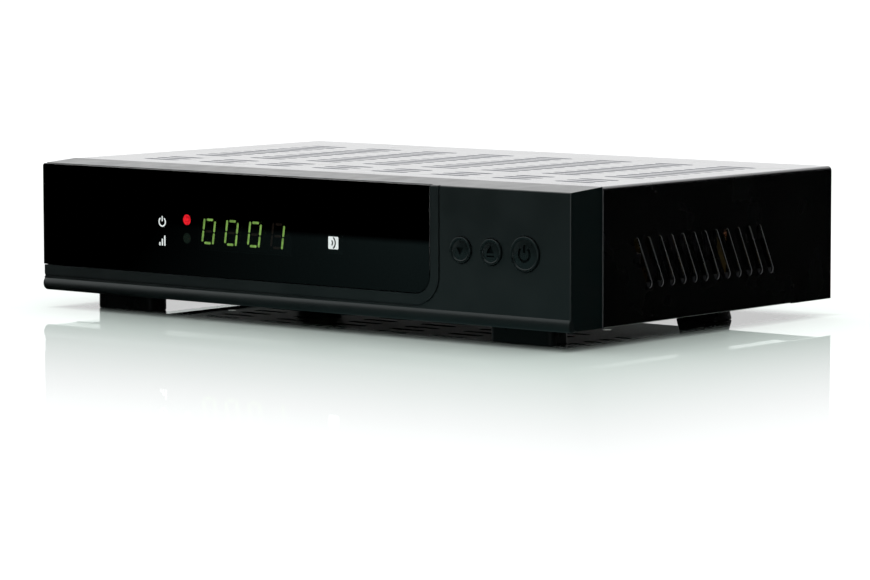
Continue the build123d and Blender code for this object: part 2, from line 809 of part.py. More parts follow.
# Stand-offs between the base and the boards, bored through for their screws
with BuildPart() as standoffs:
    for post_x, post_y in main_posts + power_posts:
        upright(post_x, post_y, base_top, standoff_radius, standoff_height)
        drill(post_x, post_y, (base_top, board_low), base_screw_radius + pin_gap)
save(standoffs, "standoffs")

# Insulation sheet on the base under the power board, cut round the stand-offs
film = 0.3
film_gap = 0.4
with BuildPart() as insulation_sheet:
    block((power_left, power_right), (power_front + 1, power_rear - 3), (base_top, base_top + film))
    for post_x, post_y in power_posts:
        drill(post_x, post_y, (base_top, base_top + film), standoff_radius + film_gap)
save(insulation_sheet, "insulation_sheet")

# Board screws from above and rear panel screws from below
long_screw = pan_screw(base_screw_radius, board + standoff_height + sheet, 2.7, 1.8)
short_screw = pan_screw(base_screw_radius, 4 * sheet, 2.5, 0.7)
with BuildPart() as base_screws:
    with Locations([(x, y, board_top) for x, y in main_posts + power_posts]):
        add(long_screw)
    with Locations([Plane(origin=(x, y, base_low), x_dir=(1, 0, 0), z_dir=(0, 0, -1))
                    for x, y in panel_screw_sites]):
        add(short_screw)
save(base_screws, "base_screws")

# Tuner can with a pressed line round its lid, its aerial connectors and their nuts
lid_inset = 2.0
lid_line = 1.0
lid_depth = 0.4
with BuildPart() as tuner_can:
    block(can_x, (can_front, panel_inner), (board_top, board_top + can_height))
    can_length = panel_inner - can_front
    with BuildSketch(Plane.XY.offset(board_top + can_height)):
        with Locations((can_centre, middle(can_front, panel_inner))):
            Rectangle(can_width - 2 * lid_inset, can_length - 2 * lid_inset)
            inner_inset = lid_inset + lid_line
            Rectangle(can_width - 2 * inner_inset, can_length - 2 * inner_inset, mode=Mode.SUBTRACT)
    extrude(amount=-lid_depth, mode=Mode.SUBTRACT)
save(tuner_can, "tuner_can")

nut_width = 12.5
nut_thickness = 2.4
thread_relief = 0.5
aerial_wall = 1.1
aerial_well = 7.0
contact_gap = 0.3
contact_radius = 0.6
aerial_tip = rear_y + aerial_reach
nut_end = panel_outer + nut_thickness
with BuildPart() as aerial_connectors:
    for hole_x in aerial_x:
        rod(hole_x, panel_inner, aerial_z, aerial_shank_radius, aerial_tip - panel_inner)
        rod(hole_x, nut_end + thread_relief, aerial_z, aerial_radius, aerial_tip - nut_end - thread_relief)
        bore(hole_x, (aerial_tip - aerial_well + cut_past, aerial_tip), aerial_z, aerial_radius - aerial_wall)
        rod(hole_x, aerial_tip - aerial_well, aerial_z, aerial_radius - aerial_wall - contact_gap,
            aerial_well - contact_gap)
        bore(hole_x, (aerial_tip - aerial_well + 2 * cut_past, aerial_tip), aerial_z, contact_radius)
save(aerial_connectors, "aerial_connectors")

with BuildPart() as connector_nuts:
    with BuildSketch(Plane.XZ.offset(-panel_outer)):
        with Locations([(x, aerial_z) for x in aerial_x]):
            RegularPolygon(radius=nut_width / 2, side_count=6, major_radius=False)
            Circle(aerial_shank_radius + pin_gap, mode=Mode.SUBTRACT)
    extrude(amount=-nut_thickness)
save(connector_nuts, "connector_nuts")

# Multipole socket: a block with a sunk ring round its contact bar, and its contact slots
multipole_face = rear_y + socket_proud
ring_width_inset = 2.0
ring_height_inset = 2.4
ring_cut_corner = 5.0
ring_line = 1.3
ring_depth = 9.0
slot_depth = 6.0
slot_size = (0.9, 2.2)
slot_pitch = 3.81
slot_row = 2.0
with BuildPart() as multipole_socket:
    block((multipole_x - multipole_width / 2, multipole_x + multipole_width / 2),
          (multipole_front, multipole_face), (board_top, board_top + multipole_height))
    with BuildSketch(facing_rear(multipole_x, multipole_face, multipole_z)):
        with BuildLine():
            ring_x = multipole_width / 2 - ring_width_inset
            ring_z = multipole_height / 2 - ring_height_inset
            Polyline((-ring_x, -ring_z), (ring_x, -ring_z), (ring_x, 0), (ring_x - ring_cut_corner, ring_z),
                     (-ring_x, ring_z), close=True)
        make_face()
        offset(amount=-ring_line, mode=Mode.SUBTRACT)
    extrude(amount=-ring_depth, mode=Mode.SUBTRACT)
    with BuildSketch(facing_rear(multipole_x, multipole_face, multipole_z)):
        for row, count in ((-slot_row, 10), (slot_row, 9)):
            with Locations((0, row)):
                with GridLocations(slot_pitch, 1, count, 1):
                    Rectangle(*slot_size)
    extrude(amount=-slot_depth, mode=Mode.SUBTRACT)
save(multipole_socket, "multipole_socket")

# Digital video socket: a folded shell with its tongue
video_face = rear_y + socket_proud
video_wall = 0.5
video_well = 9.0
tongue_size = (12.4, 1.2)
tongue_rise = 0.7
tongue_sink = 1.5


def video_outline():
    """The socket's outline, its lower corners cut."""
    half = video_width / 2
    foot_half = half - 1.8
    corner = -video_height * 0.18
    with BuildSketch() as outline:
        with BuildLine():
            Polyline((-half, video_height / 2), (half, video_height / 2), (half, corner),
                     (foot_half, -video_height / 2), (-foot_half, -video_height / 2), (-half, corner),
                     close=True)
        make_face()
    return outline.sketch


with BuildPart() as digital_video_socket:
    video_plane = facing_rear(video_x, video_face, video_z)
    with BuildSketch(video_plane):
        add(video_outline())
    extrude(amount=-(video_face - video_front))
    with BuildSketch(video_plane):
        add(video_outline())
        offset(amount=-video_wall, mode=Mode.REPLACE)
    extrude(amount=-video_well, mode=Mode.SUBTRACT)
    block((video_x - tongue_size[0] / 2, video_x + tongue_size[0] / 2),
          (video_face - video_well, video_face - tongue_sink),
          (video_z + tongue_rise - tongue_size[1] / 2, video_z + tongue_rise + tongue_size[1] / 2))
save(digital_video_socket, "digital_video_socket")

# Jacks: a housing on the board, and for each jack a coloured ring and a metal shell with a short neck
jack_wall = 0.9
jack_bore = 1.7
jack_neck = 0.5
ring_reach = 1.4
sleeve_sink = 0.4
shell_start = panel_outer + ring_reach
jack_tip = rear_y + jack_reach
with BuildPart() as jack_housings:
    block((jack_columns[0] - jack_side / 2, jack_columns[1] + jack_side / 2), (jack_front, panel_inner),
          (board_top, jack_rows[1] + jack_side / 2))
save(jack_housings, "jack_housings")

with BuildPart() as jack_sleeves:
    sleeve_length = jack_tip - sleeve_sink - panel_inner
    for hole_x, hole_z in jack_places:
        rod(hole_x, panel_inner, hole_z, jack_ring_radius, shell_start - panel_inner)
        rod(hole_x, panel_inner, hole_z, jack_radius - jack_wall - pin_gap, sleeve_length)
        bore(hole_x, (shell_start, jack_tip), hole_z, jack_bore)
save(jack_sleeves, "jack_sleeves")

with BuildPart() as jack_shells:
    for hole_x, hole_z in jack_places:
        rod(hole_x, shell_start, hole_z, jack_radius - jack_neck, jack_tip - shell_start)
        rod(hole_x, shell_start + jack_neck, hole_z, jack_radius, jack_tip - shell_start - jack_neck)
        bore(hole_x, (shell_start, jack_tip), hole_z, jack_radius - jack_wall)
save(jack_shells, "jack_shells")

# Main processor with its finned heat sink
processor_x, processor_y = on_main(0.497, 0.51)
processor_size = 27.0
processor_height = 2.0
sink_size = 30.0
sink_base = 2.0
sink_height = 12.0
sink_fins = 8
sink_fin = 1.1
with BuildPart() as main_processor:
    block((processor_x - processor_size / 2, processor_x + processor_size / 2),
          (processor_y - processor_size / 2, processor_y + processor_size / 2),
          (board_top, board_top + processor_height))
save(main_processor, "main_processor")

with BuildPart() as processor_heatsink:
    sink_low = board_top + processor_height
    sink_y = (processor_y - sink_size / 2, processor_y + sink_size / 2)
    sink_left = processor_x - sink_size / 2
    block((sink_left, sink_left + sink_size), sink_y, (sink_low, sink_low + sink_base))
    for fin in range(sink_fins):
        fin_x = sink_left + fin * (sink_size - sink_fin) / (sink_fins - 1)
        block((fin_x, fin_x + sink_fin), sink_y, (sink_low, sink_low + sink_height))
save(processor_heatsink, "processor_heatsink")

# Chips, crystals and capacitors of the main board, placed by shares of it
memory_size = (12.0, 20.0, 1.2)
memory_places = [(0.43, 0.19), (0.56, 0.19), (0.71, 0.19)]
small_chip_size = (10.0, 6.0, 1.6)
small_chip_places = [(0.11, 0.13), (0.135, 0.28), (0.25, 0.4), (0.755, 0.51), (0.755, 0.68), (0.88, 0.68),
                     (0.38, 0.75)]
with BuildPart() as board_chips:
    for places, size in ((memory_places, memory_size), (small_chip_places, small_chip_size)):
        for across, along in places:
            with Locations((*on_main(across, along), board_top)):
                Box(*size, align=(Align.CENTER, Align.CENTER, Align.MIN))
save(board_chips, "board_chips")

crystal_length = 11.0
crystal_width = 4.6
crystal_height = 3.5
with BuildPart() as crystals:
    with BuildSketch(Plane.XY.offset(board_top)):
        with Locations(on_main(0.33, 0.51), on_main(0.16, 0.51)):
            SlotOverall(crystal_length, crystal_width)
    extrude(amount=crystal_height)
save(crystals, "crystals")


def electrolytic(x, y, radius, height):
    """One upright capacitor with a pressed groove near its foot."""
    upright(x, y, board_top, radius, height)
    with Locations((x, y, board_top + 2.2)):
        Torus(radius + 0.15, 0.45, mode=Mode.SUBTRACT)


# Each capacitor has its place, its radius and its height
board_capacitor_sites = [
    (0.045, 0.28, 4.0, 12.0), (0.045, 0.405, 4.0, 12.0), (0.24, 0.11, 3.15, 11.0), (0.24, 0.225, 3.15, 11.0),
    (0.625, 0.775, 2.5, 8.0), (0.7, 0.775, 2.5, 8.0), (0.83, 0.79, 2.5, 8.0), (0.95, 0.61, 4.0, 12.0),
    (0.95, 0.5, 4.0, 12.0), (0.91, 0.395, 5.0, 14.0),
]
with BuildPart() as board_capacitors:
    for across, along, radius, height in board_capacitor_sites:
        electrolytic(*on_main(across, along), radius, height)
save(board_capacitors, "board_capacitors")

# Ribbon cable from the front board to the main board
header_depth = 4.0
header_height = 5.0
header_reach = 3.0
header_edge = 1.5
ribbon_drop_y = main_front + 8.0
ribbon_bend = 5.0
front_header_y = front_board_y + board
front_header_end = front_header_y + header_reach
with BuildPart() as ribbon_cable:
    with BuildLine():
        level_end = (ribbon_x, ribbon_drop_y - ribbon_bend, ribbon_z)
        drop_start = (ribbon_x, ribbon_drop_y, ribbon_z - ribbon_bend)
        Line((ribbon_x, front_header_end, ribbon_z), level_end)
        round_turn(level_end, (ribbon_x, ribbon_drop_y, ribbon_z), drop_start, ribbon_bend)
        Line(drop_start, (ribbon_x, ribbon_drop_y, board_top + header_height))
    with BuildSketch(Plane.XZ.offset(-front_header_end)):
        with Locations((ribbon_x, ribbon_z)):
            Rectangle(ribbon_width, ribbon_thickness)
    sweep()
save(ribbon_cable, "ribbon_cable")

# Mains inlet: a moulded socket with two pins
inlet_front = ahead(23.4)
inlet_side_edge = 2.0
inlet_high_edge = 1.5
inlet_recess_depth = 13.0
inlet_recess_width = 16.6
inlet_recess_height = 8.4
inlet_pin_radius = 1.2
inlet_pin_spacing = 8.6
inlet_pin_length = 9.5
inlet_pin_edge = 0.6
inlet_face = panel_outer + inlet_flange
with BuildPart() as mains_inlet:
    block((inlet_x - inlet_width / 2, inlet_x + inlet_width / 2), (inlet_front, inlet_face),
          (board_top, board_top + inlet_height))
    half_flange = inlet_width / 2 + inlet_side_edge
    half_rise = inlet_height / 2 + inlet_high_edge
    block((inlet_x - half_flange, inlet_x + half_flange), (panel_outer, inlet_face),
          (inlet_z - half_rise, inlet_z + half_rise))
    with BuildSketch(facing_rear(inlet_x, inlet_face, inlet_z)):
        SlotOverall(inlet_recess_width, inlet_recess_height)
    extrude(amount=-inlet_recess_depth, mode=Mode.SUBTRACT)
save(mains_inlet, "mains_inlet")

with BuildPart() as mains_pins:
    for side in (-1, 1):
        rod(inlet_x + side * inlet_pin_spacing / 2, inlet_face - inlet_recess_depth, inlet_z,
            inlet_pin_radius, inlet_pin_length)
    fillet(mains_pins.edges().group_by(Axis.Y)[-1], inlet_pin_edge)
save(mains_pins, "mains_pins")

# Mains rocker switch: a frame in the panel and a rocker on two trunnions
rocker_width = 10.4
rocker_half = 7.6
rocker_tilt = 10.0
rocker_front = 4.8
rocker_valley = 3.4
rocker_shoulder = 1.0
rocker_back = 3.0
trunnion_radius = 1.2
trunnion_length = 0.8
trunnion_gap = 0.05
rocker_gap = 0.25
pivot_depth = 3.0
cavity_half_height = 8.75
cavity_depth = 4.8
terminal_rise = 4.0
terminal_length = 5.0
terminal_width = 4.8
terminal_thickness = 0.8
switch_face = panel_outer + switch_flange
pivot_y = switch_face - pivot_depth
switch_back = ahead(23.4)
with BuildPart() as switch_frame:
    half_body = switch_body_width / 2
    half_tall = switch_body_height / 2
    block((switch_x - half_body, switch_x + half_body), (switch_back, switch_face),
          (switch_z - half_tall, switch_z + half_tall))
    half_body += switch_flange_edge
    half_tall += switch_flange_edge
    block((switch_x - half_body, switch_x + half_body), (panel_outer, switch_face),
          (switch_z - half_tall, switch_z + half_tall))
    half_cavity = rocker_width / 2 + rocker_gap
    block((switch_x - half_cavity, switch_x + half_cavity), (pivot_y - cavity_depth, switch_face + cut_past),
          (switch_z - cavity_half_height, switch_z + cavity_half_height), mode=Mode.SUBTRACT)
    with Locations(Plane(origin=(switch_x, pivot_y, switch_z), x_dir=(0, 1, 0), z_dir=(1, 0, 0))):
        Cylinder(trunnion_radius + trunnion_gap, rocker_width + 2 * (trunnion_length + 2 * trunnion_gap),
                 mode=Mode.SUBTRACT)
    for terminal_z in (switch_z - terminal_rise, switch_z + terminal_rise):
        block((switch_x - terminal_width / 2, switch_x + terminal_width / 2),
              (switch_back - terminal_length, switch_back),
              (terminal_z - terminal_thickness / 2, terminal_z + terminal_thickness / 2))
save(switch_frame, "switch_frame")

with BuildPart() as mains_rocker:
    rocker_plane = Plane(origin=(switch_x, pivot_y, switch_z), z_dir=(1, 0, 0),
                         x_dir=(0, cos(radians(rocker_tilt)), -sin(radians(rocker_tilt))))
    with BuildSketch(rocker_plane):
        with BuildLine():
            Polyline((rocker_front, -rocker_half), (rocker_valley, 0), (rocker_front, rocker_half),
                     (rocker_shoulder, rocker_half), (-rocker_back, rocker_back),
                     (-rocker_back, -rocker_back), (rocker_shoulder, -rocker_half), close=True)
        make_face()
    extrude(amount=rocker_width / 2, both=True)
    with Locations(rocker_plane):
        Cylinder(trunnion_radius, rocker_width + 2 * trunnion_length)
save(mains_rocker, "mains_rocker")

# Fuse with its two caps, in two clips
fuse_length = 20.0
fuse_radius = 2.5
fuse_cap = 5.0
fuse_glass_step = 0.15
fuse_rise = 5.2
clip_length = 4.0
clip_depth = 8.0
clip_reach = 1.4
clip_mouth = 3.6
fuse_x, fuse_y = on_power(12.5, 30.0)
fuse_z = board_top + fuse_rise
with BuildPart() as fuse:
    with Locations(Plane(origin=(fuse_x, fuse_y, fuse_z), x_dir=(0, 1, 0), z_dir=(1, 0, 0))):
        Cylinder(fuse_radius - fuse_glass_step, fuse_length)
        for end in (-1, 1):
            with Locations((0, 0, end * (fuse_length - fuse_cap) / 2)):
                Cylinder(fuse_radius, fuse_cap)
save(fuse, "fuse")

with BuildPart() as fuse_clips:
    for end in (-1, 1):
        clip_x = fuse_x + end * (fuse_length - fuse_cap) / 2
        clip_span = (clip_x - clip_length / 2, clip_x + clip_length / 2)
        block(clip_span, (fuse_y - clip_depth / 2, fuse_y + clip_depth / 2), (board_top, fuse_z + clip_reach))
        block(clip_span, (fuse_y - clip_mouth / 2, fuse_y + clip_mouth / 2),
              (fuse_z, fuse_z + clip_reach + cut_past), mode=Mode.SUBTRACT)
        with Locations(Plane(origin=(clip_x, fuse_y, fuse_z), x_dir=(0, 1, 0), z_dir=(1, 0, 0))):
            Cylinder(fuse_radius + pin_gap, clip_length + 2 * cut_past, mode=Mode.SUBTRACT)
save(fuse_clips, "fuse_clips")

# Mains choke: a bobbin with three cheeks on a core bar, and its two windings
choke_width = 18.0
choke_depth = 16.0
choke_height = 18.0
choke_foot = 2.0
cheek = 1.6
bar_depth = 5.0
bar_height = 7.0
bar_rise = 9.5
winding_gap = 0.2
winding_depth = 12.4
winding_height = 14.0
winding_corner = 2.5
choke_x, choke_y = on_power(42.5, 29.0)
choke_y_span = (choke_y - choke_depth / 2, choke_y + choke_depth / 2)
with BuildPart() as mains_choke:
    block((choke_x - choke_width / 2, choke_x + choke_width / 2), choke_y_span,
          (board_top, board_top + choke_foot))
    for cheek_x in (choke_x - (choke_width - cheek) / 2, choke_x, choke_x + (choke_width - cheek) / 2):
        block((cheek_x - cheek / 2, cheek_x + cheek / 2), choke_y_span, (board_top, board_top + choke_height))
    block((choke_x - choke_width / 2 + cheek, choke_x + choke_width / 2 - cheek),
          (choke_y - bar_depth / 2, choke_y + bar_depth / 2),
          (board_top + bar_rise - bar_height / 2, board_top + bar_rise + bar_height / 2))
save(mains_choke, "mains_choke")

with BuildPart() as choke_winding:
    room = (cheek / 2, choke_width / 2 - cheek)
    for side in (-1, 1):
        with BuildSketch(Plane.YZ.offset(choke_x + side * middle(*room))):
            with Locations((choke_y, board_top + bar_rise)):
                RectangleRounded(winding_depth, winding_height, winding_corner)
                Rectangle(bar_depth + winding_gap, bar_height + winding_gap, mode=Mode.SUBTRACT)
        extrude(amount=(room[1] - room[0]) / 2 - winding_gap, both=True)
save(choke_winding, "choke_winding")

# Mains capacitor and bulk capacitor
mains_capacitor_size = (18.0, 8.0, 15.0)
mains_capacitor_edge = 0.8
with BuildPart() as mains_capacitor:
    with Locations((*on_power(42.5, 43.0), board_top)):
        Box(*mains_capacitor_size, align=(Align.CENTER, Align.CENTER, Align.MIN))
    fillet(mains_capacitor.edges().filter_by(Axis.Z), mains_capacitor_edge)
save(mains_capacitor, "mains_capacitor")

bulk_radius = 9.0
bulk_height = 25.0
with BuildPart() as bulk_capacitor:
    electrolytic(*on_power(11.5, 46.0), bulk_radius, bulk_height)
    fillet(bulk_capacitor.edges().sort_by(Axis.Z)[-1], 1.0)
save(bulk_capacitor, "bulk_capacitor")

# Power heat sink near the side of the case, with its transistor
plate_thickness = 2.0
plate_length = 28.0
plate_height = 22.0
plate_fins = 5
plate_fin = 1.4
plate_fin_reach = 4.8
plate_x, plate_y = on_power(50.0, 63.0)
plate_y_span = (plate_y - plate_length / 2, plate_y + plate_length / 2)
plate_top = board_top + plate_height
with BuildPart() as power_heatsink:
    block((plate_x, plate_x + plate_thickness), plate_y_span, (board_top, plate_top))
    for fin in range(plate_fins):
        fin_y = plate_y_span[0] + fin * (plate_length - plate_fin) / (plate_fins - 1)
        block((plate_x, plate_x + plate_fin_reach), (fin_y, fin_y + plate_fin), (board_top, plate_top))
save(power_heatsink, "power_heatsink")

transistor_width = 10.0
transistor_thickness = 4.5
transistor_span = (board_top + 4.0, board_top + 13.0)
tab_thickness = 1.3
tab_top = board_top + 19.0
transistor_leg = 0.6
transistor_leg_back = 2.8
with BuildPart() as switching_transistor:
    body_y = (plate_y - transistor_width / 2, plate_y + transistor_width / 2)
    block((plate_x - transistor_thickness, plate_x), body_y, transistor_span)
    block((plate_x - tab_thickness, plate_x), body_y, (transistor_span[1], tab_top))
    leg_front = plate_x - transistor_leg_back
    for leg in (-1, 0, 1):
        leg_y = plate_y + leg * leg_spacing
        block((leg_front, leg_front + transistor_leg),
              (leg_y - transistor_leg / 2, leg_y + transistor_leg / 2), (board_top, transistor_span[0]))
save(switching_transistor, "switching_transistor")

# Transformer: a ferrite core round a taped winding on its bobbin
core_width = 25.0
core_depth = 7.0
core_height = 20.0
core_rise = 3.0
yoke = 3.6
core_window = 6.4
wound_reach = 6.0
bobbin_foot = (20.0, 3.0)
core_x, core_y = on_power(29.5, 60.0)
core_low = board_top + core_rise
window_z = (core_low + yoke, core_low + core_height - yoke)
with BuildPart() as transformer_core:
    block((core_x - core_width / 2, core_x + core_width / 2),
          (core_y - core_depth / 2, core_y + core_depth / 2), (core_low, core_low + core_height))
    for side in (-1, 1):
        window_x = core_x + side * core_width / 4
        block((window_x - core_window / 2, window_x + core_window / 2),
              (core_y - core_depth, core_y + core_depth), window_z, mode=Mode.SUBTRACT)
save(transformer_core, "transformer_core")

with BuildPart() as transformer_winding:
    half_wound = core_width / 4 + core_window / 2 - seat_gap
    half_leg = core_width / 4 - core_window / 2 + seat_gap
    wound_y = core_depth / 2 + wound_reach
    block((core_x - half_wound, core_x + half_wound), (core_y - wound_y, core_y + wound_y), window_z)
    block((core_x - half_leg, core_x + half_leg),
          (core_y - core_depth / 2 - seat_gap, core_y + core_depth / 2 + seat_gap),
          (window_z[0] - cut_past, window_z[1] + cut_past), mode=Mode.SUBTRACT)
    for side in (-1, 1):
        foot_y = core_y + side * (wound_y - bobbin_foot[1] / 2)
        block((core_x - bobbin_foot[0] / 2, core_x + bobbin_foot[0] / 2),
              (foot_y - bobbin_foot[1] / 2, foot_y + bobbin_foot[1] / 2), (board_top, window_z[0]))
save(transformer_winding, "transformer_winding")

# Output capacitors, each with its place on the power board, its radius and its height
output_capacitor_sites = [(11.0, 62.0, 5.0, 20.0), (14.5, 80.5, 5.0, 20.0), (32.5, 81.5, 5.0, 16.0),
                          (42.5, 81.0, 4.0, 12.0)]
with BuildPart() as output_capacitors:
    for across, along, radius, height in output_capacitor_sites:
        electrolytic(*on_power(across, along), radius, height)
save(output_capacitors, "output_capacitors")

# Headers of the ribbon cable and of the power harness
wire_radius = 0.75
wire_count = 5
wire_pitch = 2.5
wire_bend = 4.0
wire_rise = 7.0
power_header_width = 6.0
power_header_height = 7.0
power_header_x, harness_y = on_power(4.0, 74.0)
main_header_x = main_right - 4.0
header_half = wire_count * wire_pitch / 2 + 1.0
header_x = (ribbon_x - ribbon_width / 2 - header_edge, ribbon_x + ribbon_width / 2 + header_edge)
with BuildPart() as board_headers:
    block(header_x, (front_header_y, front_header_end),
          (ribbon_z - header_depth / 2, ribbon_z + header_depth / 2))
    block(header_x, (ribbon_drop_y - header_depth / 2, ribbon_drop_y + header_depth / 2),
          (board_top, board_top + header_height))
    for centre_x in (power_header_x, main_header_x):
        block((centre_x - power_header_width / 2, centre_x + power_header_width / 2),
              (harness_y - header_half, harness_y + header_half),
              (board_top, board_top + power_header_height))
save(board_headers, "board_headers")


# Power harness: wires that rise from one header, cross and drop into the other
wire_low = board_top + power_header_height
wire_high = wire_low + wire_rise
with BuildPart() as power_harness:
    for wire in range(wire_count):
        wire_y = harness_y + (wire - (wire_count - 1) / 2) * wire_pitch
        rise_end = (main_header_x, wire_y, wire_high - wire_bend)
        cross_start = (main_header_x + wire_bend, wire_y, wire_high)
        cross_end = (power_header_x - wire_bend, wire_y, wire_high)
        drop_start = (power_header_x, wire_y, wire_high - wire_bend)
        with BuildLine():
            Line((main_header_x, wire_y, wire_low), rise_end)
            round_turn(rise_end, (main_header_x, wire_y, wire_high), cross_start, wire_bend)
            Line(cross_start, cross_end)
            round_turn(cross_end, (power_header_x, wire_y, wire_high), drop_start, wire_bend)
            Line(drop_start, (power_header_x, wire_y, wire_low))
        with BuildSketch(Plane.XY.offset(wire_low)):
            with Locations((main_header_x, wire_y)):
                Circle(wire_radius)
        sweep()
save(power_harness, "power_harness")

# Leads from the rocker switch down to the power board
lead_radius = 0.9
lead_bend = 3.0
lead_spread = 2.0
lead_straight = 2.5
lead_start = switch_back - terminal_length
lead_y = lead_start - lead_straight - lead_bend
with BuildPart() as switch_leads:
    for side in (-1, 1):
        lead_x = switch_x + side * lead_spread
        lead_z = switch_z + side * terminal_rise
        level_end = (lead_x, lead_y + lead_bend, lead_z)
        drop_start = (lead_x, lead_y, lead_z - lead_bend)
        with BuildLine():
            Line((lead_x, lead_start, lead_z), level_end)
            round_turn(level_end, (lead_x, lead_y, lead_z), drop_start, lead_bend)
            Line(drop_start, (lead_x, lead_y, board_top))
        with BuildSketch(Plane.XZ.offset(-lead_start)):
            with Locations((lead_x, lead_z)):
                Circle(lead_radius)
        sweep()
save(switch_leads, "switch_leads")
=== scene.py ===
"""A satellite receiver on a white studio floor: finishes, finer pieces, light and camera."""
import json
from math import cos, pi, radians, sin, tan

import bpy
from mathutils import Matrix, Vector

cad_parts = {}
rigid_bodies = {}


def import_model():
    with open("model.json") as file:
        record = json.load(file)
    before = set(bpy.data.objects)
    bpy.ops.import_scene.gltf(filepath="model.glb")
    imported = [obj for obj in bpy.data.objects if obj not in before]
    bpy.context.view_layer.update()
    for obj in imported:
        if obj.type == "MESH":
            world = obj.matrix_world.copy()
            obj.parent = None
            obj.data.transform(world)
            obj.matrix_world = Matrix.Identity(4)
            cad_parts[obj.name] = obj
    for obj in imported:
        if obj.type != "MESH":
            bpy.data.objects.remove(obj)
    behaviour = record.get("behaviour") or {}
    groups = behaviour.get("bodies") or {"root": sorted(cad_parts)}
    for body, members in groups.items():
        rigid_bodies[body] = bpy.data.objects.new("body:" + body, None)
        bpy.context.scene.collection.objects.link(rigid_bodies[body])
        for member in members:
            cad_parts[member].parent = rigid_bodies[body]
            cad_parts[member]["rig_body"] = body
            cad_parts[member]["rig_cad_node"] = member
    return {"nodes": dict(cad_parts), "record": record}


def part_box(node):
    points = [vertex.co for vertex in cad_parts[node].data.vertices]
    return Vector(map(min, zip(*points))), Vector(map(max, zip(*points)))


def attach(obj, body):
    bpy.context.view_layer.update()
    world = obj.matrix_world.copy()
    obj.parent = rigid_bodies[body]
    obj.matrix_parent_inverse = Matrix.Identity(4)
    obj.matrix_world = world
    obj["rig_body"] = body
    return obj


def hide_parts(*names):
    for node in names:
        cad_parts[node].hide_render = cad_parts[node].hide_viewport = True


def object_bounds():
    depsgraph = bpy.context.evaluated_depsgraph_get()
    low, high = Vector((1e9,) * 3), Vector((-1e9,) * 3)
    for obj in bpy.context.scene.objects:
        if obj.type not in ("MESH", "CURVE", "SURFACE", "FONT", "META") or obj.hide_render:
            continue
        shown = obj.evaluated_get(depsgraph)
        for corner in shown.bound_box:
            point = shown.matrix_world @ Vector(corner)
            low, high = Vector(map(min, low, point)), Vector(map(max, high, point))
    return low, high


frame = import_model()
cad_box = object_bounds()
nodes = frame["nodes"]
mm = 0.001

# The middle part of a noise, over which a finish goes from its dark shade to its light one
pattern_low, pattern_high = 0.35, 0.65

# Cover: how far in from its edges the slots lie, which part of the sheet's thickness shows as bare metal,
# and how much of the bare metal shows at the front edges of its sides
cut_margin = 4.0 * mm
cut_paint = 0.08 * mm
top_cut_paint = 0.01 * mm
cut_deep = 0.74 * mm
side_cut_deep = 0.34 * mm
front_cut_share = 0.3
bare_steel = (0.12, 0.12, 0.125)
# The top's slot edges: the same bare steel, painted lighter and bluer, as painted light
top_slot_painted_light = (0.3, 0.31, 0.35)

# Front: the band of painted shade on the bezel's two ends, how far back painted shade starts on the caps,
# the lens and its blackened left end
bezel_end = 0.05 * mm
bezel_end_painted_shade = (0.0005, 0.0036, 0.0036)
cap_shade_from = 0.46 * mm
cap_painted_shade = (0.0015, 0.0028, 0.0028)
smoke = (0.2, 0.21, 0.21)
lens_black = (0.0005, 0.0005, 0.0005)
lens_end = 1.5 * mm

# Base: the bright rim at its sides, and the painted shade over the rest of it
plated_rim = 2.0 * mm
base_painted_shade = (0.01, 0.016, 0.018)

# Circuit boards: the pads' pitch, their share of it and how far off the grid they lie, then the tracks'
# pitch, their bends, their edge in the wave that draws them, and their height
pad_pitch = 3.1 * mm
pad_share = 0.16
pad_scatter = 0.7
track_pitch = 9.0 * mm
track_bend = 6.0
track_edge = (0.55, 0.6)
track_high = 0.03 * mm

# Brushed metal, in millimetres: the size of its spots, and the size and height of its lines
brushed_spot = 1.2
brushed_line, brushed_line_high = 0.5, 0.002

# Lights: the share of their colour that shows unlit, and their roughness
unlit_share = 0.3
light_roughness = 0.4

# Capacitors: their sleeve, their bare lid and how level a face has to be to count as the lid
sleeve_black = (0.02, 0.02, 0.03)
lid_grey = (0.6, 0.6, 0.6)
lid_level = 0.7

# Jacks: red and orange in the lower row, white and yellow in the upper one
jack_red, jack_orange = (0.62, 0.02, 0.015), (0.75, 0.22, 0.02)
jack_white, jack_yellow = (0.8, 0.8, 0.76), (0.85, 0.62, 0.03)


# Material helpers

def new_finish(name, colour, roughness, **sockets):
    """A material with its shader set, its node tree and the shader."""
    made = bpy.data.materials.new(name)
    made.use_nodes = True
    shader = made.node_tree.nodes["Principled BSDF"]
    shader.inputs["Base Color"].default_value = (*colour, 1.0)
    shader.inputs["Roughness"].default_value = roughness
    for socket, value in sockets.items():
        shader.inputs[socket.replace("_", " ")].default_value = value
    return made, made.node_tree, shader


def object_place(tree, stretch=(1.0, 1.0, 1.0)):
    """The place on the piece, stretched along its axes."""
    place = tree.nodes.new("ShaderNodeTexCoord")
    mapping = tree.nodes.new("ShaderNodeMapping")
    mapping.inputs["Scale"].default_value = stretch
    tree.links.new(place.outputs["Object"], mapping.inputs["Vector"])
    return mapping.outputs["Vector"]


def along_axes(tree, vector):
    """The vector's three parts, by the names X, Y and Z."""
    axes = tree.nodes.new("ShaderNodeSeparateXYZ")
    tree.links.new(vector, axes.inputs["Vector"])
    return axes.outputs


def speckle(tree, size, detail=3.0, stretch=(1.0, 1.0, 1.0)):
    """A noise whose spots are about that size, in millimetres."""
    noise = tree.nodes.new("ShaderNodeTexNoise")
    noise.inputs["Scale"].default_value = 1.0 / (size * mm)
    noise.inputs["Detail"].default_value = detail
    tree.links.new(object_place(tree, stretch), noise.inputs["Vector"])
    return noise.outputs["Fac"]


